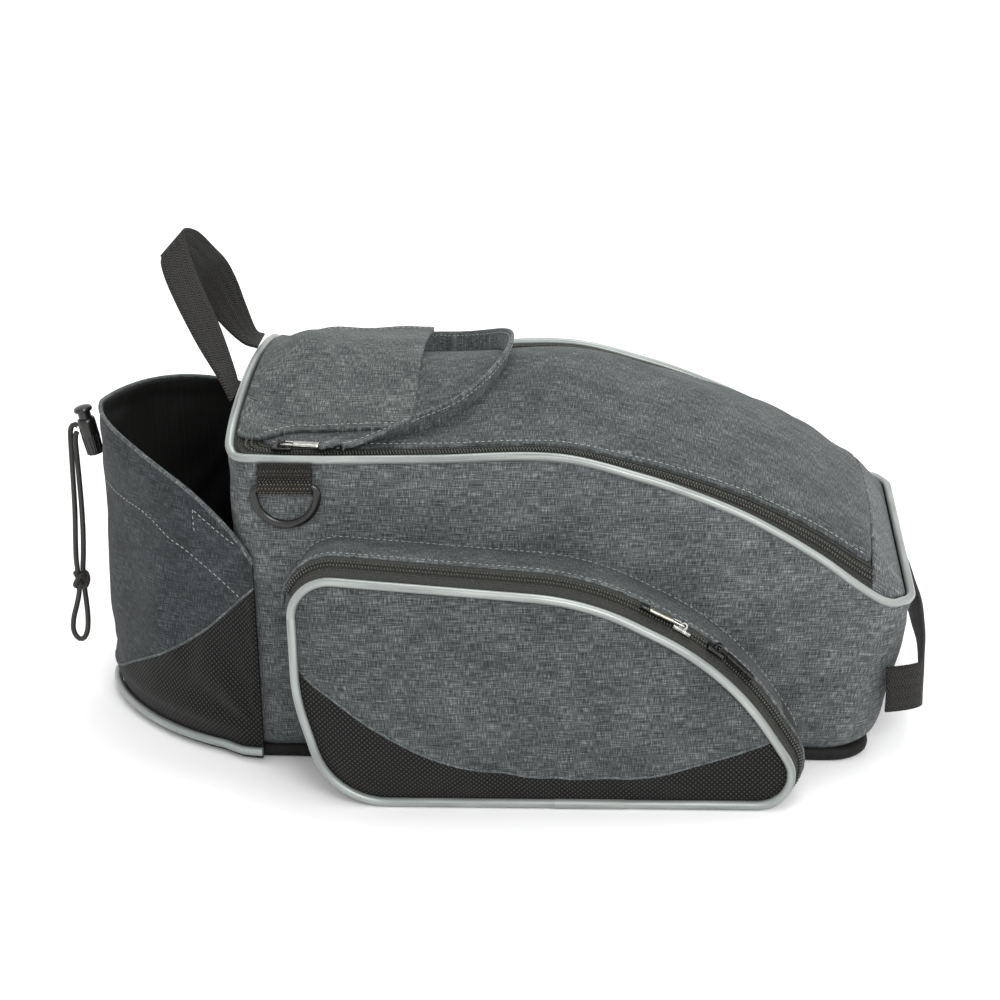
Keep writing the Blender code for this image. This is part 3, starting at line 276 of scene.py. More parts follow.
def melange_colour(tree, uv, u, v, stops):
    """Colour and height of melange cloth: slubs along both threads, and slow mottling."""
    weft = stretched_noise(tree, uv, 0.0100, 0.00046)
    warp = stretched_noise(tree, uv, 0.00046, 0.0050)
    slow = stretched_noise(tree, uv, 0.034, 0.020, 1.0)
    both = math(tree, "MULTIPLY_ADD", math(tree, "ADD", weft, warp), 0.5, 0.0)
    mixed = math(tree, "MULTIPLY_ADD", slow, 0.12, math(tree, "ADD", both, -0.06))
    weave = math(tree, "MULTIPLY", waves(tree, u, THREAD), waves(tree, v, THREAD))
    tinted = math(tree, "MULTIPLY_ADD", weave, 0.012, mixed)
    height = math(tree, "MULTIPLY_ADD", weave, 0.30, both)
    return ramp(tree, tinted, stops), height


GREY_STOPS = [(0.36, "212527"), (0.46, "3D4142"), (0.54, "545959"), (0.66, "878D8C")]
# Darker copies of the same melange grey for the lid and side pockets, the bottle pocket and the flap:
# painted shade, the bottle pocket darkest; it is one cloth
SHADED_LID_AND_POCKET_STOPS = [(0.36, "1B1E20"), (0.46, "333737"), (0.54, "484C4C"), (0.66, "797F7E")]
SHADED_BOTTLE_STOPS = [(0.36, "121416"), (0.46, "232628"), (0.54, "323638"), (0.66, "575C5D")]
SHADED_FLAP_STOPS = [(0.36, "1E2122"), (0.46, "383C3C"), (0.54, "4E5352"), (0.66, "808583")]


def black_colour(tree, u, v):
    """Colour and height of the black cloth: a fine grid of raised cells."""
    cell = 0.0029                   # two ripstop cells
    grid = math(tree, "MULTIPLY", waves(tree, u, cell), waves(tree, v, cell))
    return ramp(tree, math(tree, "MULTIPLY_ADD", grid, 0.5, 0.5),
                [(0.35, "070707"), (0.66, "0F0F0E"), (0.97, "3E3C39")]), grid


def melange_cloth(name, stops=GREY_STOPS, seam=None):
    """Melange polyester, plain woven and padded: matt, two greys of thread, slubs both ways.

    Below the seam the cloth is black ripstop nylon.
    """
    material, tree, shader = new_material(name, 0.90, Sheen_Weight=0.05, Sheen_Roughness=0.5,
                                          Specular_IOR_Level=0.25)
    uv, u, v = cloth_coords(tree)
    colour, height = melange_colour(tree, uv, u, v, stops)
    if seam:
        black, grid = black_colour(tree, u, v)
        first, last = seam[0][0], seam[-1][0]
        top = 0.12
        here = node(tree, "ShaderNodeSeparateXYZ", {0: node(tree, "ShaderNodeTexCoord").outputs["Object"]})
        along = node(tree, "ShaderNodeMapRange", {0: here.outputs[0], 1: first, 2: last})
        line = node(tree, "ShaderNodeFloatCurve", {"Value": along.outputs[0]})
        points = line.mapping.curves[0].points
        while len(points) < len(seam):
            points.new(0.5, 0.5)
        for point, (x, z) in zip(points, seam):
            point.location = ((x - first) / (last - first), z / top)
        line.mapping.update()
        under = math(tree, "LESS_THAN", math(tree, "DIVIDE", here.outputs[2], top), line.outputs[0])
        colour = node(tree, "ShaderNodeMix", {0: under, 6: colour, 7: black}, data_type="RGBA").outputs[2]
        height = node(tree, "ShaderNodeMix", {0: under, 2: height, 3: grid}).outputs[0]
    tree.links.new(colour, shader.inputs["Base Color"])
    bump(tree, shader, height, 0.00028, 0.40)
    return material


def grained(name, colours, roughness, grain, relief=None, detail=2.0, **shader_values):
    """A material whose shade wanders between two colours, in grains of a size in metres."""
    material, tree, shader = new_material(name, roughness, **shader_values)
    marks = stretched_noise(tree, node(tree, "ShaderNodeTexCoord").outputs["Object"], *grain, detail)
    paint(tree, shader, marks, [(0.3, colours[0]), (0.7, colours[1])])
    if relief:
        bump(tree, shader, marks, *relief)
    return material


def lining_cloth(name):
    """Black polyester taffeta, as on the sole and inside: close, smooth, a little uneven in shade."""
    return grained(name, ("0A0A09", "181716"), 0.72, (0.0016, 0.0016), (0.0002, 0.4), 3.0,
                   Specular_IOR_Level=0.25)


def webbing(name, stops, rib=0.0016, slant=0.6):
    """Polypropylene webbing: ribs of a herringbone weave, satin black with browner threads."""
    material, tree, shader = new_material(name, 0.62, Specular_IOR_Level=0.3)
    uv, u, v = cloth_coords(tree)
    skew = math(tree, "PINGPONG", v, rib * 2)
    ribs = waves(tree, math(tree, "MULTIPLY_ADD", skew, slant, u), rib)
    cross = waves(tree, v, rib * 0.9)
    height = math(tree, "MULTIPLY_ADD", cross, 0.45, ribs)
    fuzz = stretched_noise(tree, uv, 0.0016, 0.0007)
    mixed = math(tree, "MULTIPLY_ADD", height, 0.20, fuzz)
    paint(tree, shader, mixed, stops)
    bump(tree, shader, height, 0.0004, 0.8)
    return material


def zip_tape(name):
    """Polyester zip tape: close herringbone, dark olive grey, matt."""
    material, tree, shader = new_material(name, 0.82)
    uv, u, v = cloth_coords(tree)
    ribs = waves(tree, math(tree, "MULTIPLY_ADD", math(tree, "PINGPONG", v, 0.0016), 0.9, u), 0.0011)
    fuzz = stretched_noise(tree, uv, 0.0016, 0.0006)
    mixed = math(tree, "MULTIPLY_ADD", ribs, 0.10, fuzz)
    paint(tree, shader, mixed, [(0.3, "141512"), (0.5, "21221E"), (0.75, "393B35")])
    bump(tree, shader, ribs, 0.00025, 0.5)
    return material


def reflective_tape(name):
    """Retroreflective piping: glass beads on silver film over a cord, satin, scuffed here and there."""
    material, tree, shader = new_material(name, 0.36, 0.35)
    uv, u, v = cloth_coords(tree)
    beads = stretched_noise(tree, uv, 0.0006, 0.0006, 3.0)
    scuff = stretched_noise(tree, uv, 0.004, 0.050)
    mixed = math(tree, "MULTIPLY_ADD", beads, 0.25, math(tree, "MULTIPLY", scuff, 0.75))
    paint(tree, shader, mixed, [(0.28, "6B706E"), (0.45, "868C89"), (0.7, "A0A5A2")])
    bump(tree, shader, beads, 0.0002, 0.35)
    return material


def plated_metal(name, colours, roughness):
    """Plated zinc: bright, with faint polishing marks and rubbed patches."""
    return grained(name, colours, roughness, (0.0030, 0.0004), (0.00008, 0.4), metallic=1.0)


def moulded_plastic(name, colours, roughness):
    """Moulded acetal: satin black with a fine spark-eroded grain."""
    return grained(name, colours, roughness, (0.0007, 0.0007), (0.0001, 0.35))


def braided_cord(name):
    """Braided elastic: threads that cross on the slant, matt black with a few light flecks."""
    material, tree, shader = new_material(name, 0.80)
    uv, u, v = cloth_coords(tree)
    pitch = 0.0019
    one = waves(tree, math(tree, "ADD", u, v), pitch)
    other = waves(tree, math(tree, "SUBTRACT", u, v), pitch)
    braid = math(tree, "MAXIMUM", one, other)
    paint(tree, shader, math(tree, "MULTIPLY_ADD", braid, 0.5, 0.5),
          [(0.1, "0C0B0A"), (0.6, "191814"), (1.0, "3A372F")])
    bump(tree, shader, braid, 0.0004, 0.7)
    return material


def plain_thread(name, colours):
    """Twisted polyester sewing thread: a little sheen, shade that changes along it."""
    return grained(name, colours, 0.60, (0.0009, 0.0009), detail=1.0)


GREY = melange_cloth("melange_polyester")
# Lid, flap, side pockets and bottle pocket: the same cloth, with painted shade in their darker stops
GREY_LID = melange_cloth("melange_polyester_lid", SHADED_LID_AND_POCKET_STOPS)
GREY_FLAP = melange_cloth("melange_polyester_flap", SHADED_FLAP_STOPS)
GREY_POCKET = melange_cloth("melange_and_ripstop_side", SHADED_LID_AND_POCKET_STOPS, POCKET_SEAM)
GREY_BOTTLE = melange_cloth("melange_and_ripstop_end", SHADED_BOTTLE_STOPS, BOTTLE_SEAM)
LINING = lining_cloth("black_taffeta_lining")
WEBBING = webbing("black_polypropylene_webbing", [(0.2, "080808"), (0.5, "141311"), (0.85, "38362F")])
WEBBING_DOT = plain_thread("brown_webbing_thread", ("4A4438", "7C7463"))
ZIP_TAPE = zip_tape("polyester_zip_tape")
# Nylon coil, near the tape's own dark colour, painted lighter so its teeth show as light dots: partly
# painted highlight
ZIP_COIL_WITH_PAINTED_HIGHLIGHT = moulded_plastic("nylon_zip_coil", ("262723", "4C4E47"), 0.25)
PIPING = reflective_tape("reflective_piping")
CHROME = plated_metal("nickel_plated_zinc", ("8E8E89", "C9C9C3"), 0.20)
GUNMETAL = plated_metal("gunmetal_plated_zinc", ("2B2B2A", "4C4C4A"), 0.25)
PULL_BAR = plated_metal("brushed_nickel_bar", ("8F8B80", "BDB9AD"), 0.34)
ACETAL = moulded_plastic("moulded_acetal", ("0C0C0B", "191817"), 0.26)
ELASTIC = braided_cord("braided_elastic")
THREAD_LIGHT = plain_thread("light_grey_thread", ("747876", "A3A6A3"))
THREAD_GREY = plain_thread("mid_grey_thread", ("6E7174", "8E9194"))
FLOOR = new_material("white_paper", 0.9, Base_Color=linear("FDFDFD"))[0]


# Shape rules, the same as the frame's
def table_value(rows, along, column=1):
    """Smooth value of one column at a share along the table."""
    keys = [row[0] for row in rows]
    values = [row[column] for row in rows]
    along = min(max(along, keys[0]), keys[-1])
    spot = max(index for index in range(len(keys) - 1) if keys[index] <= along)
    slopes = []
    for index in (spot, spot + 1):
        low, high = max(index - 1, 0), min(index + 1, len(keys) - 1)
        slopes.append((values[high] - values[low]) / (keys[high] - keys[low]))
    span = keys[spot + 1] - keys[spot]
    part = (along - keys[spot]) / span
    rest = 1 - part
    ends = values[spot] * (1 + 2 * part) * rest * rest + values[spot + 1] * (3 - 2 * part) * part * part
    return ends + span * (slopes[0] * part * rest * rest - slopes[1] * rest * part * part)


def top_height(x, y):
    """Height of the bag's top: the side wall's edge plus the crown of the lid."""
    x = min(max(x, TOP_INSET - FRONT_REACH), REAR_REACH - TOP_INSET)
    along = (x + FRONT_REACH) / (FRONT_REACH + REAR_REACH)
    edge = REAR_HEIGHT + (FRONT_HEIGHT - REAR_HEIGHT) * table_value(RIM, along)
    across = min(abs(y) / (HALF_WIDTH - TOP_INSET), 1.0)
    full = table_value(CROWN, along)
    shape = (1 - full) * cos(pi * across / 2) ** 2 + full * (1 - across ** CROWN_POWER)
    runout = min(max((REAR_REACH - TOP_INSET - x) / CROWN_RUNOUT, 0.0), 1.0)
    return edge + CROWN_RISE * shape * sin(pi * runout / 2)


def on_top(x, y, lift=0.0):
    return Vector((x, y, top_height(x, y) + lift))


def top_normal(x, y):
    step = 0.001
    slope_x = (top_height(x + step, y) - top_height(x - step, y)) / (2 * step)
    slope_y = (top_height(x, y + step) - top_height(x, y - step)) / (2 * step)
    return Vector((-slope_x, -slope_y, 1.0)).normalized()


def shares(start, end, count):
    return [start + (end - start) * index / count for index in range(count + 1)]


def plan_line(inset=0.0, drawn_in=0.0, start=None):
    """Plan outline from the rear round the near side and the front, and back on the far side."""
    front, rear, side = -FRONT_REACH + inset, REAR_REACH - inset - drawn_in, -HALF_WIDTH + inset
    front_round = max(FRONT_CORNER - inset, 0.003)
    rear_round = max(REAR_CORNER - inset, 0.003)
    near = []
    if start is None:
        start = rear - rear_round
        near += [(rear, y) for y in shares(0.0, side + rear_round, 18)]
        near += [(start + rear_round * cos(turn), side + rear_round * (1 - sin(turn)))
                 for turn in shares(0.0, pi / 2, 8)[1:-1]]
    near += [(x, side) for x in shares(start, front + front_round, 66)]
    near += [(front + front_round * (1 - sin(turn)), side + front_round * (1 - cos(turn)))
             for turn in shares(0.0, pi / 2, 6)[1:-1]]
    near += [(front, y) for y in shares(side + front_round, 0.0, 20)]
    far = [(x, -y) for x, y in reversed(near[:-1])]
    return near + (far if start != rear - rear_round else far[:-1])


def plan_half_width(x, inset):
    side = HALF_WIDTH - inset
    for edge, corner in ((x + FRONT_REACH - inset, FRONT_CORNER), (REAR_REACH - inset - x, REAR_CORNER)):
        radius = max(corner - inset, 0.003)
        if edge < radius:
            return side - radius + sqrt(max(radius ** 2 - (radius - edge) ** 2, 0.0))
    return side


def bottle_plan(count, inset=0.0, lean=0.0, out=0.0):
    """Plan line of the bottle pocket, near end to far end."""
    start = -FRONT_REACH + FRONT_CORNER
    reach = BOTTLE_REACH + FRONT_CORNER - lean + out
    half = SIDE_FACE + BOTTLE_WALL + out
    points = []
    for turn in shares(-pi / 2, pi / 2, count):
        forward = max(cos(turn), 0.0) ** (2 / BOTTLE_POWER)
        across = abs(sin(turn)) ** (2 / BOTTLE_POWER) * (1 if turn > 0 else -1)
        fade = min(max(reach * forward / FRONT_CORNER - 1, 0.0), 1.0)
        points.append((start - (reach - inset) * forward, (half - inset * fade) * across))
    return points


def evenly(points, count, closed=False):
    """Evenly spaced points along a line of points."""
    loop = list(points) + [points[0]] if closed else list(points)
    lengths = [0.0]
    for first, second in zip(loop, loop[1:]):
        lengths.append(lengths[-1] + (second - first).length)
    last = count if closed else count - 1
    result, spot = [], 0
    for index in range(count):
        target = lengths[-1] * index / last
        while spot < len(lengths) - 2 and lengths[spot + 1] < target:
            spot += 1
        part = (target - lengths[spot]) / max(lengths[spot + 1] - lengths[spot], 1e-9)
        result.append(loop[spot].lerp(loop[spot + 1], part))
    return result


def smooth_line(points, count):
    """Evenly spaced points on a smooth line through the given ones."""
    knots = [Vector(point) for point in points]
    fine = []
    for index in range(len(knots) - 1):
        start, end = knots[index], knots[index + 1]
        pull = (end - knots[max(index - 1, 0)]) * 0.5
        push = (knots[min(index + 2, len(knots) - 1)] - start) * 0.5
        for part in shares(0.0, 1.0, 8)[:-1]:
            square, cube = part ** 2, part ** 3
            fine.append(start * (2 * cube - 3 * square + 1) + pull * (cube - 2 * square + part)
                        + end * (3 * square - 2 * cube) + push * (cube - square))
    fine.append(knots[-1])
    return evenly(fine, count)


# Mesh makers
def surface(name, rows, uvs=None, wrap=False, loop=False):
    """A cloth surface through rows of points; its UV map holds metres along the threads."""
    rows = [[Vector(point) for point in row] for row in rows]
    width, depth = len(rows[0]), len(rows)
    if uvs is None:
        run = rows[depth // 2]
        across = [0.0]
        for place in range(1, width + 1):
            across.append(across[-1] + (run[place % width] - run[place - 1]).length)
        down = [0.0]
        for line in range(1, depth + 1):
            down.append(down[-1] + (rows[line % depth][width // 2] - rows[line - 1][width // 2]).length)
        uvs = [[(u, v) for u in across] for v in down]
    faces, spots = [], []
    for line in range(depth if loop else depth - 1):
        for place in range(width if wrap else width - 1):
            after, below = (place + 1) % width, (line + 1) % depth
            faces.append((line * width + place, line * width + after, below * width + after,
                          below * width + place))
            spots.append(((line, place), (line, place + 1), (line + 1, place + 1), (line + 1, place)))
    mesh = bpy.data.meshes.new(name)
    mesh.from_pydata([tuple(point) for row in rows for point in row], [], faces)
    layer = mesh.uv_layers.new(name="weave")
    for polygon, corners in zip(mesh.polygons, spots):
        for loop_index, (line, place) in zip(polygon.loop_indices, corners):
            layer.data[loop_index].uv = uvs[line][place]
    mesh.shade_smooth()
    return placed(name, mesh)


def face_from(thing, inside):
    """Turns the faces so that they look away from a point inside the bag."""
    inside = Vector(inside)
    sign = sum(face.normal.dot(face.center - inside) * face.area for face in thing.data.polygons)
    if sign < 0:
        thing.data.flip_normals()


def close_ends(thing, width, lines):
    """Closes a mesh with a face over each of the given rows, and turns its faces outwards."""
    work = bmesh.new()
    work.from_mesh(thing.data)
    work.verts.ensure_lookup_table()
    for line in lines:
        work.faces.new([work.verts[line * width + index] for index in range(width)])
    bmesh.ops.recalc_face_normals(work, faces=work.faces)
    work.to_mesh(thing.data)
    work.free()


def sweep(name, path, section, ups=UP, closed=False):
    """One closed section carried along a path: cords, piping, wire and webbing."""
    path = [Vector(point) for point in path]
    count = len(path)
    rows = []
    for index, point in enumerate(path):
        before = path[index - 1] if closed or index else point
        after = path[(index + 1) % count] if closed or index < count - 1 else point
        along = (after - before).normalized()
        up = ups[index] if isinstance(ups, list) else ups
        side = along.cross(up).normalized()
        lift = side.cross(along)
        rows.append([point + side * s + lift * h for s, h in section])
    thing = surface(name, rows, wrap=True, loop=closed)
    close_ends(thing, len(section), () if closed else (0, count - 1))
    thing.data.set_sharp_from_angle(angle=1.0)
    return thing


def round_section(radius, sides=16, flat=1.0):
    turns = [2 * pi * k / sides for k in range(sides)]
    return [(radius * cos(turn), radius * flat * sin(turn)) for turn in turns]


def band_section(width, thickness, low=None):
    """Flat band with rounded edges, centred, or standing on its lower edge."""
    half, thin = width / 2, thickness / 2
    base = 0.0 if low is None else half
    edge = thin * 0.6
    corners = [(-thin, -half + edge), (-thin, half - edge), (-thin * 0.5, half), (thin * 0.5, half),
               (thin, half - edge), (thin, -half + edge), (thin * 0.5, -half), (-thin * 0.5, -half)]
    return [(s, h + base) for s, h in corners]


def modify(thing, kind, **values):
    modifier = thing.modifiers.new(kind.lower(), kind)
    for key, value in values.items():
        setattr(modifier, key, value)
    return modifier


def thicken(thing, thickness, offset=-1.0, levels=1):
    if levels:
        modify(thing, "SUBSURF", levels=levels, render_levels=levels)
    modify(thing, "SOLIDIFY", thickness=thickness, offset=offset)


def puff(thing, held, pressure=2.0, growth=0.012, cap=0.003, limit=None, frames=16):
    """Cloth simulation of a padded panel: it swells between the seams that hold it."""
    scene = bpy.context.scene
    rest = [vertex.co.copy() for vertex in thing.data.vertices]
    group = thing.vertex_groups.new(name="seams")
    group.add(held, 1.0, "REPLACE")
    cloth = thing.modifiers.new("cloth", "CLOTH")
    values = cloth.settings
    values.quality = 5
    values.mass = 0.3
    values.tension_stiffness = 20.0
    values.compression_stiffness = 14.0
    values.shear_stiffness = 6.0
    values.bending_stiffness = 1.2
    values.vertex_group_mass = "seams"
    values.use_pressure = True
    values.uniform_pressure_force = pressure
    values.shrink_min = -growth
    values.effector_weights.gravity = 0.0
    cloth.collision_settings.use_collision = False
    for step in range(1, frames + 1):
        scene.frame_set(step)
    moved = thing.evaluated_get(bpy.context.evaluated_depsgraph_get()).data
    for vertex, start, end in zip(thing.data.vertices, rest, [v.co.copy() for v in moved.vertices]):
        step = end - start
        most = cap * (limit(start) if limit else 1.0)
        if step.length > 1e-9:
            step *= most * (1 - exp(-step.length / most)) / step.length
        vertex.co = start + step
    thing.modifiers.remove(cloth)
    thing.vertex_groups.remove(group)
    scene.frame_set(1)


def rumple(thing, height, wave, seed, limit=None):
    """Slow, shallow unevenness of hand-filled padding."""
    normals = [vertex.normal.copy() for vertex in thing.data.vertices]
    shift = Vector((seed * 3.7, seed * 1.9, seed * 5.3))
    for vertex, normal in zip(thing.data.vertices, normals):
        level = noise.noise(vertex.co / wave + shift)
        vertex.co += normal * height * level * (limit(vertex.co) if limit else 1.0)


def dress(thing, materials, body="bag", nodes=()):
    """Gives a finished piece its cloth, its body and what it stands for."""
    for material in materials if isinstance(materials, list) else [materials]:
        thing.data.materials.append(material)
    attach(thing, body)
    if nodes:
        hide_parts(*nodes)
    return thing


def tree_of(thing):
    """Search tree of a piece as it shows."""
    evaluated = thing.evaluated_get(bpy.context.evaluated_depsgraph_get())
    work = bmesh.new()
    work.from_mesh(evaluated.data)
    tree = BVHTree.FromBMesh(work)
    work.free()
    return tree


def laid_on(points, tree, lift, ahead):
    """Points and normals of a line laid on a piece, on the side that faces ahead."""
    places, outs = [], []
    for point in points:
        point = Vector(point)
        look = ahead(point) if callable(ahead) else Vector(ahead)
        spot, normal, _, _ = tree.ray_cast(point + look * 0.02, -look, 0.05)
        if spot is None:
            spot, normal, _, _ = tree.find_nearest(point)
        if normal.dot(look) < 0:
            normal = -normal
        places.append(spot + normal * lift)
        outs.append(normal)
    return places, outs


def mirrored(thing, name):
    """The far side's own copy of a near piece."""
    mesh = thing.data.copy()
    mesh.transform(Matrix.Diagonal((1.0, -1.0, 1.0, 1.0)))
    mesh.flip_normals()
    far = placed(name, mesh)
    for old in thing.modifiers:
        new = far.modifiers.new(old.name, old.type)
        for key in ("levels", "render_levels", "thickness", "offset", "width", "segments", "material_offset",
                    "material_offset_rim"):
            if hasattr(old, key):
                setattr(new, key, getattr(old, key))
    return far


# Studs: stitches, zip teeth and weave beads set along lines by one node tree
def make_stud_tree():
    tree = bpy.data.node_groups.new("studs_along_lines", "GeometryNodeTree")
    face = tree.interface
    face.new_socket("Lines", in_out="INPUT", socket_type="NodeSocketGeometry")
    for name, value in (("Spacing", 0.003), ("Length", 0.002), ("Width", 0.0006), ("Height", 0.0005),
                        ("Wander", 0.1)):
        face.new_socket(name, in_out="INPUT", socket_type="NodeSocketFloat").default_value = value
    face.new_socket("Detail", in_out="INPUT", socket_type="NodeSocketInt").default_value = 2
    face.new_socket("Seed", in_out="INPUT", socket_type="NodeSocketInt").default_value = 1
    face.new_socket("Finish", in_out="INPUT", socket_type="NodeSocketMaterial")
    face.new_socket("Studs", in_out="OUTPUT", socket_type="NodeSocketGeometry")
    given = node(tree, "NodeGroupInput").outputs
    curve = node(tree, "GeometryNodeMeshToCurve", {"Mesh": given["Lines"]})
    points = node(tree, "GeometryNodeCurveToPoints", {"Curve": curve.outputs[0], "Length": given["Spacing"]},
                  mode="LENGTH")
    out = node(tree, "GeometryNodeInputNamedAttribute", {"Name": "out"}, data_type="FLOAT_VECTOR")
    lie = node(tree, "FunctionNodeAlignRotationToVector", {"Vector": points.outputs["Tangent"]}, axis="X")
    stand = node(tree, "FunctionNodeAlignRotationToVector", {"Rotation": lie.outputs[0],
                                                              "Vector": out.outputs["Attribute"]},
                 axis="Z", pivot_axis="X")
    stray = node(tree, "FunctionNodeRandomValue", {0: (-1.0, -1.0, -1.0), 1: (1.0, 1.0, 1.0),
                                                   "Seed": given["Seed"]}, data_type="FLOAT_VECTOR")
    bend = node(tree, "ShaderNodeVectorMath", {0: stray.outputs[0], 1: given["Wander"]},
                operation="MULTIPLY")
    turned = node(tree, "FunctionNodeRotateRotation", {"Rotation": stand.outputs[0],
                                                       "Rotate By": bend.outputs[0]},
                  rotation_space="LOCAL")
    ball = node(tree, "GeometryNodeMeshIcoSphere", {"Radius": 0.5, "Subdivisions": given["Detail"]})
    size = node(tree, "ShaderNodeCombineXYZ", {0: given["Length"], 1: given["Width"], 2: given["Height"]})
    copies = node(tree, "GeometryNodeInstanceOnPoints", {"Points": points.outputs[0],
                                                         "Instance": ball.outputs[0],
                                                         "Rotation": turned.outputs[0],
                                                         "Scale": size.outputs[0]})
    real = node(tree, "GeometryNodeRealizeInstances", {0: copies.outputs[0]})
    smooth = node(tree, "GeometryNodeSetShadeSmooth", {0: real.outputs[0]})
    done = node(tree, "GeometryNodeSetMaterial", {"Geometry": smooth.outputs[0],
                                                  "Material": given["Finish"]})
    node(tree, "NodeGroupOutput", {"Studs": done.outputs[0]})
    return tree


STUDS = make_stud_tree()
COIL = {"spacing": 0.0017, "length": 0.0010, "width": 0.0022, "height": 0.0018, "wander": 0.0}
TAPE_SEWING = {"spacing": 0.0019, "length": 0.0013, "width": 0.0007, "height": 0.0006, "detail": 1}


def studs(name, lines, finish, slot, spacing=0.0034, length=0.0023, width=0.00055, height=0.0005,
          wander=0.06, detail=2, seed=1):
    """Studs along lines of (points, normals), as one plain mesh."""
    verts, edges, outs = [], [], []
    for points, normals in lines:
        first = len(verts)
        verts += [tuple(point) for point in points]
        outs += [tuple(normal) for normal in normals]
        edges += [(first + k, first + k + 1) for k in range(len(points) - 1)]
    mesh = bpy.data.meshes.new(name + "_line")
    mesh.from_pydata(verts, edges, [])
    attribute = mesh.attributes.new("out", "FLOAT_VECTOR", "POINT")
    for item, out in zip(attribute.data, outs):
        item.vector = out
    guide = placed(name + "_line", mesh)
    modifier = guide.modifiers.new("studs", "NODES")
    modifier.node_group = STUDS
    values = {"Spacing": spacing, "Length": length, "Width": width, "Height": height, "Wander": wander,
              "Detail": detail, "Seed": seed, "Finish": finish}
    for item in STUDS.interface.items_tree:
        if item.in_out == "INPUT" and item.name in values:
            modifier[item.identifier] = values[item.name]
    evaluated = guide.evaluated_get(bpy.context.evaluated_depsgraph_get())
    made = bpy.data.meshes.new_from_object(evaluated)
    bpy.data.objects.remove(guide, do_unlink=True)
    made.name = name
    thing = placed(name, made)
    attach(thing, "bag")


# Elastic cord first, as it hangs from its lock
def make_cord():
    curve = bpy.data.curves.new("elastic_cord_braid", "CURVE")
    curve.dimensions = "3D"
    curve.bevel_depth = CORD_DIAMETER / 2
    curve.bevel_resolution = 4
    curve.use_fill_caps = True
    route = smooth_line(CORD_ROUTE, 150)
    spline = curve.splines.new("POLY")
    spline.points.add(len(route) - 1)
    for knot, point in zip(spline.points, route):
        knot.co = (*point, 1.0)
    spline.use_smooth = True
    thing = placed("elastic_cord_braid", curve)
    length = sum((b - a).length for a, b in zip(route, route[1:]))
    curve.materials.append(ELASTIC_ROUND)
    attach(thing, "bag")
    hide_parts("elastic_cord")
    return thing, length


def make_knot():
    """Overhand knot: the doubled cord wound round itself."""
    middle = Vector((-0.2948, 0.0, 0.066))
    path = []
    for turn in shares(0.0, 2 * pi, 72)[:-1]:
        reach = 0.0030 + 0.0011 * cos(3 * turn)
        path.append(middle + Vector((reach * cos(2 * turn), reach * sin(2 * turn), 0.0040 * sin(3 * turn))))
    thing = sweep("cord_knot_wound", path, round_section(0.0016, 12), closed=True)
    return dress(thing, ELASTIC, nodes=["cord_knot"])


ELASTIC_ROUND = plain_thread("braided_elastic_cord", ("0D0C0B", "2A2822"))
make_camera()
make_studio()
CORD, CORD_LENGTH = make_cord()
KNOT = make_knot()


# Body
CALM_SPOTS = ((-0.149, 0.155, 0.034), (0.150, 0.080, 0.030), (0.165, 0.045, 0.030))     # x, z, radius
CALM_FRONT = -0.165


def wall_calm(point):
    """1 where the wall may puff, less near the rings, the rear strap and the bottle pocket."""
    calm = 0.25 if point.x < CALM_FRONT else 1.0
    for x, z, radius in CALM_SPOTS:
        calm = min(calm, max((hypot(point.x - x, point.z - z) / radius) ** 2, 0.12))
    return calm


def make_wall():
    top, foot = plan_line(), plan_line(drawn_in=REAR_RAKE)
    levels = 30
    rows, uvs = [], []
    arc = [0.0]
    for index in range(1, len(top) + 1):
        here, last = top[index % len(top)], top[index - 1]
        arc.append(arc[-1] + hypot(here[0] - last[0], here[1] - last[1]))
    for share in shares(0.0, 1.0, levels):
        row, uv = [], []
        for (x, y), (fx, fy) in zip(top, foot):
            high = top_height(x, y) - PIPING_RADIUS * 0.75
            z = high + (BASE_HEIGHT - high) * share
            tuck = 0.0030 * max(1 - (z - BASE_HEIGHT) / 0.009, 0.0) ** 2
            pull = 1 - tuck / 0.1
            row.append(((x + (fx - x) * share) * pull, (y + (fy - y) * share) * pull, z))
        for index in range(len(top) + 1):
            uv.append((arc[index], row[index % len(top)][2]))
        rows.append(row)
        uvs.append(uv)
    thing = surface("body_wall_cloth", rows, uvs, wrap=True)
    face_from(thing, (0, 0, 0.08))
    width = len(top)
    held = list(range(width)) + list(range(width * levels, width * (levels + 1)))
    for index, vertex in enumerate(thing.data.vertices):
        if vertex.co.x < -0.179 and abs(abs(vertex.co.y) - 0.1035) < 0.003:
            held.append(index)
        if vertex.co.x > 0.150 and abs(index % width - 24) < 1:
            held.append(index)
    puff(thing, held, pressure=2.4, growth=0.016, cap=0.0042, limit=wall_calm)
    rumple(thing, 0.0024, 0.060, 1, lambda p: wall_calm(p) * min((p.z - BASE_HEIGHT) / 0.02, 1.0)
           * min(max(top_height(p.x, p.y) - p.z, 0.0) / 0.02, 1.0))
    thicken(thing, 0.0020)
    return dress(thing, GREY, nodes=["body_wall"])


def make_base():
    outline = plan_line(inset=0.0012, drawn_in=REAR_RAKE)
    rows = []
    for inset, z in ((0.012, 0.0), (0.004, 0.0), (0.0012, 0.0006), (0.0, 0.002), (-0.0006, 0.0045),
                     (0.0, 0.0068), (0.0016, 0.0079), (0.006, 0.0082)):
        rows.append([(x * (1 - inset / 0.19), y * (1 - inset / 0.105), z) for x, y in outline])
    thing = surface("base_panel_cloth", rows, wrap=True)
    close_ends(thing, len(outline), (0, len(rows) - 1))
    return dress(thing, LINING, nodes=["base_panel"])


def make_top_piping():
    points = evenly([on_top(x, y) for x, y in plan_line(PIPING_INSET)], 420, closed=True)
    thing = sweep("top_piping_tape", points, round_section(PIPING_RADIUS), closed=True)
    return dress(thing, PIPING, nodes=["top_piping"])


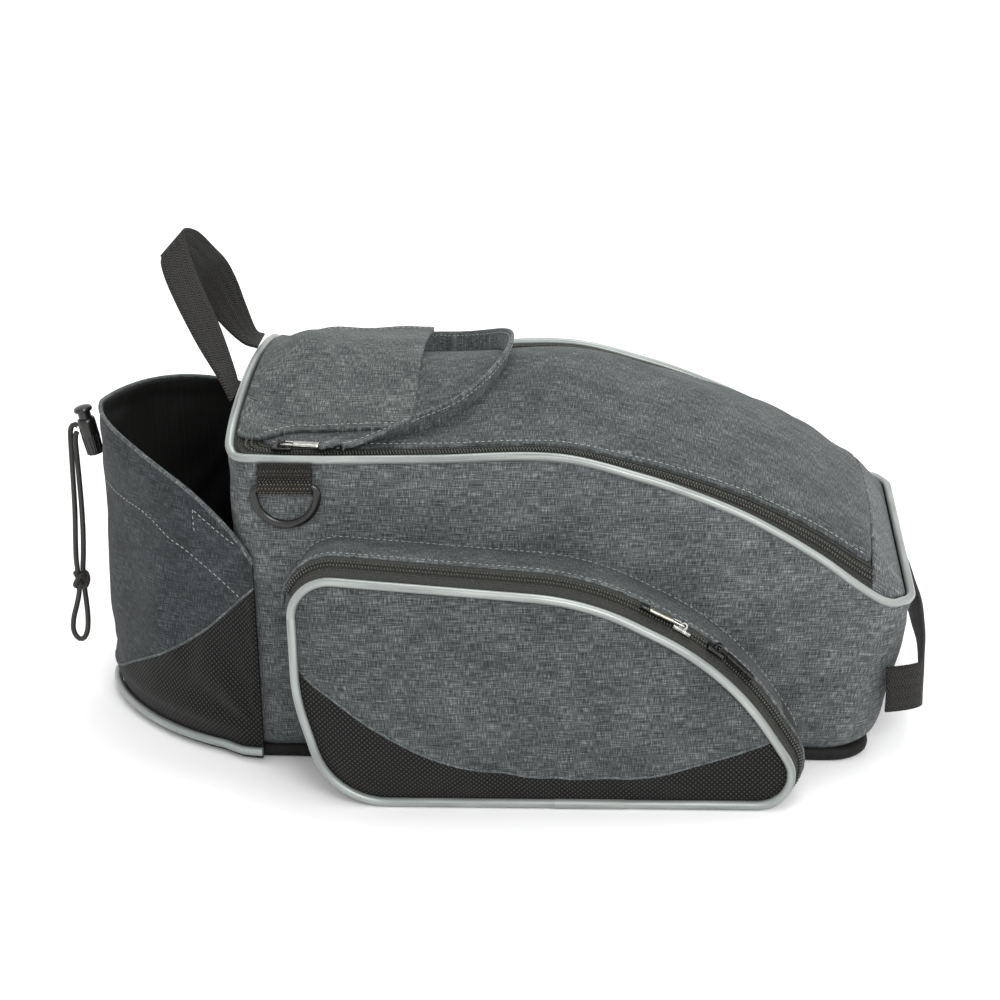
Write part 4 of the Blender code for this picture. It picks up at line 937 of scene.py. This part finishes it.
def make_lid():
    front = -FRONT_REACH + LID_INSET
    columns = 44
    rows, uvs = [], []
    for share in shares(0.0, 1.0, 76):
        row, uv = [], []
        for place in shares(-1.0, 1.0, columns):
            bow = SEAM_BOW * (1 - place * place) * (1 - share)
            x = SEAM_REACH + (front - SEAM_REACH) * share + bow
            y = place * plan_half_width(min(x, SEAM_REACH), LID_INSET)
            edge = min((1 - abs(place)) / 0.05, 1.0)
            row.append((x, y, top_height(x, y) + 0.0012 * sin(pi / 2 * min(edge + 0.35, 1.0))))
            uv.append((x, y))
        rows.append(row)
        uvs.append(uv)
    thing = surface("lid_cloth", rows, uvs)
    face_from(thing, (0, 0, 0.0))
    width = columns + 1
    held = [index for index in range(len(rows) * width)
            if index % width in (0, 1, width - 2, width - 1) or index // width in (0, len(rows) - 1)]

    def limit(point):
        return 0.12 + 0.88 * min(max((point.x + 0.040) / 0.06, 0.0), 1.0)
    puff(thing, held, pressure=1.8, growth=0.012, cap=0.0030, limit=limit)
    rumple(thing, 0.0018, 0.055, 2, lambda p: limit(p) * min((0.088 - abs(p.y)) / 0.02, 1.0))
    thicken(thing, 0.0026)
    return dress(thing, GREY_LID, nodes=["lid"])


def make_rear_panel():
    rear = REAR_REACH - TOP_INSET
    rows, uvs = [], []
    for turn in shares(0.0, pi / 2, 14):
        row, uv = [], []
        for place in shares(-1.0, 1.0, 48):
            seam = SEAM_REACH + 0.0006 + SEAM_BOW * (1 - place * place)
            x = seam + (rear - seam) * cos(turn)
            y = place * plan_half_width(x, TOP_INSET)
            row.append((x, y, top_height(x, y)))
            uv.append((x, y))
        rows.append(row)
        uvs.append(uv)
    thing = surface("rear_panel_cloth", rows, uvs)
    face_from(thing, (0.1, 0, 0.0))
    thicken(thing, 0.0024)
    return dress(thing, GREY, nodes=["rear_panel"])


def zip_line(inset, lift):
    """Line along the main zip at an inset, with its normals."""
    points = evenly([on_top(x, y) for x, y in plan_line(inset, start=SEAM_REACH)], 330)
    outs = [top_normal(point.x, point.y) for point in points]
    return [point + out * lift for point, out in zip(points, outs)], outs


def make_main_zip():
    rows = []
    for inset in shares(TOP_INSET - 0.0012, LID_INSET + 0.002, 6):
        row = evenly([on_top(x, y) for x, y in plan_line(inset, start=SEAM_REACH)], 260)
        rows.append([point - UP * 0.0002 for point in row])
    thing = surface("main_zip_tape", rows)
    face_from(thing, (0, 0, 0))
    thicken(thing, 0.0011, levels=0)
    dress(thing, ZIP_TAPE, nodes=["main_zip"])
    middle = TOP_INSET + ZIP_WIDTH / 2
    studs("main_zip_coil", [zip_line(middle + side, 0.0006) for side in (-0.0013, 0.0013)], ZIP_COIL_WITH_PAINTED_HIGHLIGHT,
          "zip_tape", **COIL)
    studs("main_zip_sewing", [zip_line(middle + side, 0.0001) for side in (-0.0036, 0.0034)], ZIP_COIL_WITH_PAINTED_HIGHLIGHT,
          "zip_tape", wander=0.03, **TAPE_SEWING)
    ridges = []
    for side in (-0.0051, 0.0049):
        points, outs = zip_line(middle + side, 0.0002)
        ridges.append(sweep("ridge", points, round_section(0.0007, 8, 0.8), outs))
    join("main_zip_fold", ridges, ZIP_TAPE)


def join(name, things, finish):
    """Several meshes as one piece."""
    work = bmesh.new()
    for thing in things:
        work.from_mesh(thing.data)
    mesh = bpy.data.meshes.new(name)
    work.to_mesh(mesh)
    work.free()
    for thing in things:
        bpy.data.objects.remove(thing, do_unlink=True)
    dress(placed(name, mesh), finish)


def flap_point(share, place):
    half = FLAP_HALF_WIDTH * table_value(FLAP_WIDTH, share)
    rise = FLAP_LIFT * table_value(FLAP_RISE, share)
    x = FLAP_FRONT + FLAP_LENGTH * share
    y = place * half
    tipped = FLAP_FAR_LIFT * sin(pi / 2 * min(share / 0.40, 1.0)) * max(place, 0.0) ** 1.3
    return Vector((x, y, top_height(x, y) + FLAP_CLEAR + rise * cos(pi * place / 2) ** 2 + tipped))


def make_flap():
    rows, uvs = [], []
    for share in shares(1.0, 0.0, 40):
        row = [flap_point(share, place) for place in shares(-1.0, 1.0, 56)]
        rows.append(row)
        uvs.append([(point.x, point.y) for point in row])
    thing = surface("top_flap_cloth", rows, uvs)
    face_from(thing, (-0.12, 0, 0.1))
    rumple(thing, 0.0014, 0.030, 3, lambda p: min(max((p.x - FLAP_FRONT) / 0.03, 0.0), 1.0))
    thicken(thing, FLAP_THICKNESS * 1.3)
    dress(thing, GREY_FLAP, nodes=["top_flap"])
    bpy.context.view_layer.update()
    tree = tree_of(thing)
    lines = [laid_on([flap_point(share, place) for share in shares(0.14, 0.985, 60)], tree, STITCH_LIFT, UP)
             for place in (-0.945, 0.945)]
    studs("top_flap_stitches", lines, THREAD_LIGHT, "grey_fabric", seed=3)


def make_band():
    """Upright cloth band in a D over the lid; it lies down under the flap, and its ends cross the zip."""
    root, half, length = -0.121, 0.083, 0.087
    path, ups = [], []
    for side in (-1, 1):
        part = []
        for share in shares(1.0, 0.0, 8)[:-1]:
            x = root - 0.014 * share
            y = side * (half + 0.0075 * share)
            up = Vector((-0.25, side, 0.12)).normalized()
            part.append((on_top(x, y, 0.0030), up))
        if side == -1:
            path += part
            for turn in shares(-pi / 2, pi / 2, 70):
                x, y = root + length * cos(turn), half * sin(turn)
                flat = min(max((BAND_FLAT_REACH - x) / 0.040, 0.0), 1.0)
                stand = Vector((0.3 * cos(turn), 0.3 * sin(turn), 1.0)).normalized()
                lie = Vector((-0.25, sin(turn), 0.12)).normalized()
                path.append((on_top(x, y, 0.0014), stand.lerp(lie, flat).normalized()))
        else:
            path += reversed(part)
    points = [point for point, _ in path]
    ups = [up for _, up in path]
    thing = sweep("band_handle_cloth", points, band_section(0.013, 0.0024, low=0), ups)
    modify(thing, "BEVEL", width=0.0004, segments=2)
    dress(thing, GREY, nodes=["band_handle"])
    lines = []
    for side in (-1, 1):
        outs, dots = [], []
        for index in range(6, len(points) - 6):
            along = (points[index + 1] - points[index - 1]).normalized()
            across = along.cross(ups[index]).normalized() * side
            dots.append(points[index] + ups[index] * 0.0105 + across * 0.0013)
            outs.append(across)
        lines.append((dots, outs))
    studs("band_handle_stitches", lines, THREAD_LIGHT, "grey_fabric", seed=4)


def handle_rows(count, columns):
    rows = []
    for share in shares(0.0, 1.0, count):
        middle = Vector([table_value(HANDLE, share, column) for column in (1, 2, 3)])
        wide = Vector([table_value(HANDLE, share, column) for column in (4, 5, 6)]).normalized()
        rows.append([middle + wide * (HANDLE_WIDTH * side) for side in shares(-0.5, 0.5, columns)])
    return rows


def make_handle():
    thing = surface("front_handle_webbing", handle_rows(110, 8))
    for loop in thing.data.uv_layers["weave"].data:
        loop.uv = (loop.uv[1], loop.uv[0])
    thicken(thing, WEBBING_THICKNESS, offset=0.0, levels=0)
    return dress(thing, WEBBING, nodes=["front_handle"])


def make_rear_strap():
    width, height, slack = 0.027, 0.0455, 0.024
    side = SIDE_FACE + WEBBING_THICKNESS
    wall = REAR_REACH - REAR_RAKE * (1 - height / REAR_HEIGHT)
    corner = wall - REAR_CORNER
    near = []
    bend = side - REAR_CORNER * 0.6
    sewn_at = 0.48                  # the turn, in radians, at which the strap leaves the corner's seam
    bowed = wall + slack * 0.75
    for turn in shares(sewn_at, pi / 2, 12):
        near.append(Vector((corner + (bowed - corner) * sin(turn), -bend - (side - bend) * cos(turn), 0)))
    for share in shares(0.0, 1.0, 16)[1:]:
        near.append(Vector((wall + slack * (0.75 + 0.25 * sin(pi * share / 2)), -bend * (1 - share), 0)))
    path = evenly(near + [Vector((point.x, -point.y, 0)) for point in reversed(near[:-1])], 90)
    rows = []
    for share in shares(-0.5, 0.5, 6):
        sway = [0.0012 * noise.noise(Vector((p.y * 22, share, 7.0))) for p in path]
        rows.append([(p.x + off, p.y, height + width * share) for p, off in zip(path, sway)])
    thing = surface("rear_strap_webbing", rows)
    face_from(thing, (0.1, 0, 0.045))
    thicken(thing, WEBBING_THICKNESS, levels=0)
    return dress(thing, WEBBING, nodes=["rear_strap"])


def make_ring_and_tab(prefix, side):
    """D-ring, and the webbing folded round its bar and sewn to the wall."""
    joint = next(j for j in frame["joints"] if j["name"] == prefix + "_ring_swing")
    bar = Vector(joint["pos_m"])
    half, drop, corner, wire = 0.0174, 0.0215, 0.0035, 0.0019
    low = -(drop - half)
    flat = [(-half + corner, 0.0)] + [(u, 0.0) for u in shares(-half + corner, half - corner, 8)[1:]]
    flat += [(half - corner * (1 - sin(t)), -corner * (1 - cos(t))) for t in shares(0.0, pi / 2, 5)[1:]]
    flat += [(half * cos(t), low - half * sin(t)) for t in shares(0.0, pi, 30)]
    flat += [(-half + corner * (1 - sin(t)), -corner * (1 - cos(t))) for t in shares(pi / 2, 0.0, 5)[:-1]]
    path = evenly([bar + Vector((u, 0.0, v)) for u, v in flat], 90, closed=True)
    ring = sweep(prefix + "_d_ring_cast", path, round_section(wire * 1.22, 16, 0.70), Vector((0, 1, 0)),
                 closed=True)
    dress(ring, ACETAL, body=prefix + "_ring", nodes=[prefix + "_d_ring"])
    layer, bore = 0.0014, wire + 0.0003
    outer = bore + layer
    wall_gap = abs(bar.y) - SIDE_FACE
    profile = [(wall_gap - 2 * layer, 0.0130), (wall_gap - 2 * layer, outer * 0.95)]
    profile += [(-outer * cos(t), outer * sin(t)) for t in shares(0.35 * pi, -pi / 2, 14)[1:]]
    profile += [(wall_gap * 0.35, -outer * 1.02), (wall_gap, -outer * 0.8)]
    profile = evenly([Vector((s, h, 0)) for s, h in profile], 34)
    rows = []
    for point in profile:
        y, z = bar.y - side * point.x, bar.z + point.y
        rows.append([(bar.x + x, y, z) for x in shares(-0.015, 0.015, 12)])
    tab = surface(prefix + "_ring_tab_webbing", rows)
    face_from(tab, bar + Vector((0, -side * 0.0015, 0.0)))
    thicken(tab, layer, levels=0)
    dress(tab, WEBBING, nodes=[prefix + "_ring_tab"])
    lines = []
    for index in range(5, 30, 3):
        at = profile[index]
        along = (profile[index + 1] - profile[index - 1]).normalized()
        out = Vector((0.0, side * along.y, along.x))
        if out.dot(Vector((0, -side * at.x, at.y))) < 0:
            out = -out
        shift = 0.0009 * (index % 2)
        dots = [Vector((bar.x + x + shift, bar.y - side * at.x, bar.z + at.y)) + out * STITCH_LIFT
                for x in shares(-0.0140, 0.0130, 16)]
        lines.append((dots, [out] * len(dots)))
    studs(prefix + "_ring_tab_weave", lines, WEBBING_DOT, "webbing", spacing=0.0018, length=0.0010,
          width=0.0007, height=0.0006, wander=0.10, detail=1, seed=5)


# Side pockets
def pocket_outline(count=170):
    corners = []
    for along, up, rounding in POCKET:
        corners.append((POCKET_FRONT + POCKET_LENGTH * along,
                        POCKET_SOLE + (POCKET_HEIGHT - POCKET_SOLE) * up, POCKET_LENGTH * rounding))
    outline = []
    for index, (x, z, radius) in enumerate(corners):
        here = Vector((x, z))
        before = Vector(corners[index - 1][:2]) - here
        after = Vector(corners[(index + 1) % len(corners)][:2]) - here
        turn = before.angle(after)
        reach = min(radius / tan(turn / 2), 0.48 * before.length, 0.48 * after.length)
        radius = reach * tan(turn / 2)
        middle = (before.normalized() + after.normalized()).normalized()
        centre = here + middle * (radius / sin(turn / 2))
        first = here + before.normalized() * reach - centre
        last = here + after.normalized() * reach - centre
        sweep_angle = first.angle_signed(last)
        for share in shares(0.0, 1.0, 14):
            arm = first.copy()
            arm.rotate(Matrix.Rotation(-sweep_angle * share, 2))
            outline.append(centre + arm)
    return evenly(outline, count, closed=True)


def outline_normals(outline):
    count = len(outline)
    normals = []
    for index in range(count):
        along = (outline[(index + 1) % count] - outline[index - 1]).normalized()
        normals.append(Vector((-along.y, along.x)))
    return normals


OUTLINE = pocket_outline()
NORMALS = outline_normals(OUTLINE)


def gusset_out(depth):
    """How far the gusset stands outside the face's outline: it slopes to the face along the zip."""
    middle, crest = POCKET_DEPTH * 0.62, POCKET_DEPTH - POCKET_CREST
    if depth < middle:
        return GUSSET_AT_WALL + (GUSSET_AT_FOLD - GUSSET_AT_WALL) * sin(pi / 2 * max(depth, 0.0) / middle)
    part = min((depth - middle) / (crest - middle), 1.0)
    return GUSSET_AT_FOLD * (1 - part) - POCKET_CREST * 0.3 * part


def gusset_line(depth, lift, first=0.0, last=1.0, closed=False):
    """Line round the gusset at a depth, with normals; shares run from the top front corner."""
    count = len(OUTLINE)
    start, stop = int(first * count), int(last * count)
    points, outs = [], []
    for place in range(start, stop + (0 if closed else 1)):
        point, normal = OUTLINE[place % count], NORMALS[place % count]
        spot = point + normal * (gusset_out(depth) + lift)
        points.append(Vector((spot.x, -SIDE_FACE - depth, max(spot.y, 0.0012))))
        outs.append(Vector((normal.x, 0.0, normal.y)))
    return points, outs


def make_pocket():
    count = len(OUTLINE)
    centre = sum(OUTLINE, Vector((0.0, 0.0))) / count
    arc = [0.0]
    for index in range(count):
        arc.append(arc[-1] + (OUTLINE[(index + 1) % count] - OUTLINE[index]).length)
    rows, uvs = [], []
    for depth in shares(-0.0010, POCKET_DEPTH - POCKET_CREST, 14):
        rows.append(gusset_line(depth, 0.0, closed=True)[0])
        uvs.append([(arc[k], depth) for k in range(count + 1)])
    face = POCKET_DEPTH - POCKET_CREST * 0.3
    for turn in shares(0.0, pi / 2, 3)[1:]:
        inset = POCKET_CREST * (0.3 + 0.7 * (1 - cos(turn)))
        depth = POCKET_DEPTH - POCKET_CREST + POCKET_CREST * 0.7 * sin(turn)
        rows.append([Vector((p.x - n.x * inset, -SIDE_FACE - depth, max(p.y - n.y * inset, 0.0012)))
                     for p, n in zip(OUTLINE, NORMALS)])
        uvs.append([(rows[-1][k % count].x, rows[-1][k % count].z) for k in range(count + 1)])
    free = len(rows) + 1
    for squeeze in (0.975, 0.94, 0.90, 0.85, 0.79, 0.72, 0.64, 0.56, 0.48, 0.40, 0.32, 0.24, 0.16, 0.08,
                    0.02):
        row = []
        for p, n in zip(OUTLINE, NORMALS):
            base = p - n * POCKET_CREST
            spot = centre + (base - centre) * squeeze
            swell = POCKET_BULGE * (1 - squeeze ** 2.6) ** 0.9
            row.append(Vector((spot.x, -SIDE_FACE - face - swell, spot.y)))
        rows.append(row)
        uvs.append([(row[k % count].x, row[k % count].z) for k in range(count + 1)])
    thing = surface("near_pocket_cloth", rows, uvs, wrap=True)
    close_ends(thing, count, [len(rows) - 1])
    cap = thing.data.polygons[-1]
    cap.use_smooth = True
    for corner, vertex in zip(cap.loop_indices, cap.vertices):
        point = thing.data.vertices[vertex].co
        thing.data.uv_layers["weave"].data[corner].uv = (point.x, point.z)
    face_from(thing, (0, -SIDE_FACE, 0.06))
    puff(thing, list(range(free * count)), pressure=2.2, growth=0.012, cap=0.0035)
    rumple(thing, 0.0014, 0.040, 6, lambda p: min(max((-p.y - SIDE_FACE - face) / 0.003, 0.0), 1.0))
    rumple(thing, 0.0012, 0.018, 8, lambda p: 1.0 if -p.y - SIDE_FACE < 0.034 and p.z > 0.03 else 0.0)
    thicken(thing, 0.0016)
    both_sides(thing, "pocket_cloth", GREY_POCKET, ["pocket"])
    return thing


def both_sides(thing, name, finish, nodes=()):
    """A finished near piece and its far copy."""
    copy = mirrored(thing, "far_" + name)
    thing.name = "near_" + name
    thing.data.name = "near_" + name
    for side, piece in (("near_", thing), ("far_", copy)):
        dress(piece, finish, nodes=[side + replaced for replaced in nodes])


def make_pocket_trim(pocket):
    depth = SIDE_FACE + POCKET_DEPTH
    piping = [Vector((p.x, -depth, p.y)) for p in evenly(OUTLINE, 260, closed=True)]
    out = Vector((0, -1, 0))
    both_sides(sweep("piping", piping, round_section(PIPING_RADIUS), out, closed=True),
               "pocket_piping_tape", PIPING, ["pocket_piping"])
    sleeve = [Vector((x, -depth, POCKET_SOLE)) for x in shares(-0.002, 0.036, 12)]
    both_sides(sweep("sleeve", sleeve, round_section(PIPING_RADIUS * 1.12), out), "piping_sleeve", PIPING)
    near_edge = POCKET_DEPTH - POCKET_ZIP_SET
    start, stop = 0.012, 0.500
    rows = [gusset_line(d, 0.0016, start, stop)[0] for d in shares(near_edge + 0.003, near_edge - 0.013, 6)]
    tape = surface("tape", rows)
    face_from(tape, (0, -SIDE_FACE - 0.03, 0.03))
    thicken(tape, 0.0012, levels=0)
    both_sides(tape, "pocket_zip_tape", ZIP_TAPE, ["pocket_zip"])
    middle = near_edge - ZIP_WIDTH / 2
    for side, flip, thread in (("near", 1, THREAD_LIGHT), ("far", -1, THREAD_GREY)):
        def lined(depth, lift, first=start, last=stop):
            points, outs = gusset_line(depth, lift, first, last)
            return [Vector((p.x, p.y * flip, p.z)) for p in points], outs
        studs(side + "_pocket_zip_coil", [lined(middle + s, 0.0024) for s in (-0.0013, 0.0013)], ZIP_COIL_WITH_PAINTED_HIGHLIGHT,
              "zip_tape", **COIL)
        studs(side + "_pocket_zip_sewing", [lined(middle + s, 0.0018) for s in (-0.0036, 0.0036)], ZIP_COIL_WITH_PAINTED_HIGHLIGHT,
              "zip_tape", **TAPE_SEWING)
        stitches = [lined(depth, 0.0006, 0.0, 0.47) for depth in (0.0045, near_edge - 0.0175)]
        studs(side + "_pocket_stitches", stitches, thread, "grey_fabric", seed=7)
    fold = gusset_line(near_edge - 0.0135, 0.0012, 0.0, 0.49)[0]
    both_sides(sweep("fold", fold, round_section(0.0011, 10), out), "zip_fold", GREY)
    tree = tree_of(pocket)
    seam = [Vector((x, -0.17, z)) for x, z in smooth_seam(POCKET_SEAM)]
    line = laid_on(seam, tree, FOLD_LIFT, out)[0]
    both_sides(sweep("seam", line, round_section(FOLD_RADIUS, 8), out), "panel_fold", GREY)


def smooth_seam(seam):
    low, high = seam[0][0], seam[-1][0]
    keys = [((x - low) / (high - low), z) for x, z in seam]
    return [(low + (high - low) * share, table_value(keys, share)) for share in shares(0.02, 0.985, 80)]


# Zip sliders and pullers
def softened(source, finish):
    """A slider with its edges rounded, from the frame's own."""
    name = source + "_body"
    mesh = frame["nodes"][source].data.copy()
    mesh.name = name
    work = bmesh.new()
    work.from_mesh(mesh)
    bmesh.ops.remove_doubles(work, verts=work.verts, dist=1e-5)
    bmesh.ops.dissolve_limit(work, angle_limit=0.02, verts=work.verts, edges=work.edges)
    work.to_mesh(mesh)
    work.free()
    mesh.materials.clear()
    thing = placed(name, mesh)
    modify(thing, "BEVEL", width=SLIDER_BEVEL, segments=3, limit_method="ANGLE")
    dress(thing, finish, nodes=[source])


def make_puller(name, bar_finish):
    """Wire loop in the slider's arch and the pull bar on it."""
    joint = next(j for j in frame["joints"] if j["name"] == name + "_pull_swing")
    pivot = Vector(joint["pos_m"])
    across = Vector(joint["axis"]).normalized()
    node_name = name + "_puller"
    low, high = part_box(node_name)
    middle = (Vector(low) + Vector(high)) / 2
    along = middle - pivot
    along = (along - across * along.dot(across)).normalized()
    out = along.cross(across)
    if out.dot(pivot - Vector((0.0, 0.0, 0.05))) < 0:
        out = -out

    def place(a, c):
        return pivot + along * a + across * c
    loop = [place(0.0, c) for c in shares(-0.0020, 0.0020, 4)]
    loop += [place(0.0062, 0.0017), place(0.0078, 0.0012), place(0.0078, -0.0012), place(0.0062, -0.0017)]
    wire = sweep(node_name + "_loop", evenly(loop, 40, closed=True), round_section(0.00062, 8), out,
                 closed=True)
    dress(wire, GUNMETAL if bar_finish == GUNMETAL else CHROME, body=name + "_pull")
    section = [(h, s) for s, h in band_section(0.0058, 0.0020)]
    for part, reaches, finish, nodes in (
            ("_bar", (0.0062, 0.0068, 0.0075, 0.012, 0.018, 0.0205), bar_finish, [node_name]),
            ("_tip", (0.0207, 0.0212, 0.023, 0.0250, 0.0255), ACETAL, ())):
        piece = sweep(node_name + part, [place(reach, 0.0) for reach in reaches], section, out)
        modify(piece, "BEVEL", width=0.0004, segments=2, limit_method="ANGLE")
        dress(piece, finish, body=name + "_pull", nodes=nodes)


# Bottle pocket, with its stitch lines as X in metres, Y and Z in millimetres
BOTTLE_STITCHES = (((-0.266, 33.8, 142), (-0.250, 60, 140), (-0.2316, 77.6, 136), (-0.2012, 98.6, 116),
                    (-0.1806, 106.6, 100)),
                   ((-0.2018, 98.3, 148), (-0.1806, 106.6, 133)),
                   ((-0.2030, 97.5, 148), (-0.2036, 97.4, 137)))


def bottle_fold(x, z):
    """Depth of the folds that fan out from the pocket's lower rear corner."""
    ahead, up = -0.172 - x, z - 0.018
    reach = hypot(ahead, up)
    angle = atan2(up, max(ahead, 1e-4))
    fade = min(reach / 0.03, 1.0) * max(1 - reach / 0.105, 0.0) * min(max((z - 0.014) / 0.010, 0.0), 1.0)
    return 0.0042 * fade * sin(angle * 7.5 + 0.8) * max(cos(angle * 0.9), 0.0)


def make_bottle_pocket():
    count, levels = 120, 34
    lip, low = bottle_plan(count, lean=0.003), bottle_plan(count, PIPING_RADIUS / 2)
    foot = bottle_plan(count, BOTTLE_WAIST)
    knee = BOTTLE_PIPING_HEIGHT + 3 * PIPING_RADIUS
    rows, uvs = [], []
    arc = [0.0]
    for (ax, ay), (bx, by) in zip(lip, lip[1:]):
        arc.append(arc[-1] + hypot(bx - ax, by - ay))
    for share in shares(0.0, 1.0, levels):
        row = []
        for index, ((tx, ty), (fx, fy)) in enumerate(zip(lip, low)):
            top = BOTTLE_HEIGHT * table_value(BOTTLE_EDGE, 1 - abs(2 * index / count - 1))
            x, y, z = tx + (fx - tx) * share, ty + (fy - ty) * share, top + (knee - top) * share
            out = Vector((x + 0.17, y, 0.0)).normalized()
            row.append(Vector((x, y, z)) + out * bottle_fold(x, z))
        rows.append(row)
    for height in (BOTTLE_PIPING_HEIGHT + PIPING_RADIUS, BOTTLE_PIPING_HEIGHT, 0.0015):
        rows.append([Vector((x, y, height)) for x, y in foot])
    for row in rows:
        uvs.append([(arc[index], row[index].z) for index in range(count + 1)])
    thing = surface("bottle_pocket_cloth", rows, uvs)
    face_from(thing, (-0.2, 0, 0.08))
    width = count + 1
    held = [index for index in range(len(rows) * width)
            if not width * 2 <= index < width * (levels - 1) or not 3 <= index % width < width - 3]
    puff(thing, held, pressure=0.5, growth=0.020, cap=0.0030)
    rumple(thing, 0.0016, 0.034, 9, lambda p: 1.0 if p.z > 0.03 and p.x < -0.18 else 0.0)
    modify(thing, "SUBSURF", levels=1, render_levels=1)
    modify(thing, "SOLIDIFY", thickness=0.0022, offset=-1.0, material_offset=1, material_offset_rim=1)
    dress(thing, [GREY_BOTTLE, LINING], nodes=["bottle_pocket"])
    bpy.context.view_layer.update()
    tree = tree_of(thing)

    def look(point):
        return Vector((point.x + 0.16, point.y, 0.0)).normalized()
    lines = []
    for side in (-1, 1):
        for path in BOTTLE_STITCHES:
            line = smooth_line([(x, side * y / 1000, z / 1000) for x, y, z in path], 60)
            lines.append(laid_on(line, tree, FOLD_LIFT, look))
    studs("bottle_pocket_stitches", lines, THREAD_LIGHT, "grey_fabric", seed=11)
    seam = smooth_seam(BOTTLE_SEAM)
    plan = bottle_plan(400)
    fold = []
    for side in (-1, 1):
        line = []
        for x, z in seam:
            y = min((abs(px - x), py) for px, py in plan if py * side > 0)[1]
            line.append(Vector((x, y, z)))
        places, outs = laid_on(line, tree, FOLD_LIFT, look)
        fold.append(sweep("fold", places, round_section(FOLD_RADIUS, 8), outs))
    join("bottle_panel_fold", fold, GREY)
    path = [point + UP * 0.0002 - look(point) * 0.0009 for point in rows[0]]
    binding = sweep("bottle_lip_hem", evenly(path, 160), round_section(0.0013, 12))
    dress(binding, GREY)


def make_bottle_trim():
    plan = bottle_plan(130, BOTTLE_WAIST, out=(PIPING_RADIUS + 0.0003) * 1.15)
    path = evenly([Vector((x, y, BOTTLE_PIPING_HEIGHT)) for x, y in plan], 200)
    thing = sweep("bottle_piping_tape", path, round_section(PIPING_RADIUS))
    dress(thing, PIPING, nodes=["bottle_pocket_piping"])
    outline = [(x, y) for x, y in bottle_plan(90, BOTTLE_WAIST, out=-0.0034) if x < -0.185]
    rows = []
    for inset, z in ((0.02, 0.0016), (0.0008, 0.0016), (0.0, 0.0022), (0.0, 0.0034), (0.0008, 0.0040),
                     (0.02, 0.0040)):
        rows.append([(-0.2 + (x + 0.2) * (1 - inset / 0.08), y * (1 - inset / 0.09), z) for x, y in outline])
    sole = surface("bottle_base_cloth", rows, wrap=True)
    close_ends(sole, len(outline), (0, len(rows) - 1))
    dress(sole, LINING, nodes=["bottle_pocket_base"])


# Cord lock
def turned(name, profile, axes, body, nodes):
    """A turned solid about the lock's axis; profile is (radius, height), closed at both poles."""
    origin, side, across, axis = axes
    sides = 40
    turns = [2 * pi * k / sides for k in range(sides)]
    rows = []
    for radius, height in profile:
        rows.append([origin + axis * height + (side * cos(turn) + across * sin(turn)) * radius
                     for turn in turns])
    thing = surface(name, rows, wrap=True)
    work = bmesh.new()
    work.from_mesh(thing.data)
    bmesh.ops.remove_doubles(work, verts=work.verts, dist=1e-6)
    bmesh.ops.recalc_face_normals(work, faces=work.faces)
    work.to_mesh(thing.data)
    work.free()
    thing.data.set_sharp_from_angle(angle=0.6)
    dress(thing, ACETAL, body=body, nodes=nodes)


def make_lock():
    tilt = 0.197
    axis = Vector((-sin(tilt), 0.0, cos(tilt)))
    across = Vector((0.0, 1.0, 0.0))
    side = across.cross(axis)
    axes = (Vector((-0.27909, 0.0, 0.147)), side, across, axis)
    length, radius, bore, floor = 0.0225, 0.0054, 0.0041, 0.009
    barrel = [(0, floor), (bore, floor), (bore, length - 0.0003), (bore + 0.0003, length),
              (radius * 0.90, length), (radius * 0.97, length - 0.0005), (radius, length * 0.86),
              (radius, length * 0.55),
              (radius * 0.97, length * 0.5), (radius * 0.90, length * 0.12), (radius * 0.86, length * 0.04),
              (radius * 0.78, 0.0002), (radius * 0.55, 0.0), (0, 0.0)]
    turned("cord_lock_barrel", barrel, axes, "bag", ["cord_lock"])
    lines = []
    for k in range(12):
        angle = 2 * pi * k / 12
        out = side * cos(angle) + across * sin(angle)
        rib = [axes[0] + axis * h + out * (radius * (0.88 + 0.10 * h / 0.012))
               for h in (0.0015, 0.006, 0.0115)]
        lines.append((rib, [out] * len(rib)))
    studs("cord_lock_ribs", lines, ACETAL, "black_plastic", spacing=0.0012, length=0.0026, width=0.0008,
          height=0.0006, wander=0.0)
    neck = length + 0.0043
    button = [(0, neck - 0.0125), (0.0036, neck - 0.0125), (0.0038, neck - 0.0120), (0.0038, neck),
              (0.0050, neck + 0.0001), (0.0055, neck + 0.0007), (0.0056, neck + 0.0015),
              (0.0050, neck + 0.0027),
              (0.0032, neck + 0.0034), (0.0012, neck + 0.0036), (0, neck + 0.0036)]
    turned("lock_button_cap", button, axes, "button", ["lock_button"])


def make_lid_stitches(lid):
    """Seam sewing along the lid's edges by the zip."""
    tree = tree_of(lid)
    lines = []
    for side in (-1, 1):
        points = [on_top(x, side * (HALF_WIDTH - LID_INSET - 0.0032)) for x in shares(0.166, -0.158, 120)]
        lines.append(laid_on(points, tree, STITCH_LIFT, UP))
    studs("lid_stitches", lines, THREAD_LIGHT, "grey_fabric", seed=13, width=0.0006)


make_wall()
make_base()
make_top_piping()
LID = make_lid()
make_rear_panel()
make_main_zip()
make_flap()
make_band()
make_handle()
make_rear_strap()
make_ring_and_tab("near", -1)
make_ring_and_tab("far", 1)
POCKET_CLOTH = make_pocket()
bpy.context.view_layer.update()
make_pocket_trim(POCKET_CLOTH)
for prefix in ("near", "far"):
    for kind, finish in (("_main", GUNMETAL), ("_pocket_front", CHROME), ("_pocket_rear", GUNMETAL)):
        softened(prefix + kind + "_slider", finish)
    for kind, finish in (("_main", CHROME), ("_pocket_front", PULL_BAR), ("_pocket_rear", GUNMETAL)):
        make_puller(prefix + kind, finish)
make_bottle_pocket()
make_bottle_trim()
make_lock()
make_lid_stitches(LID)
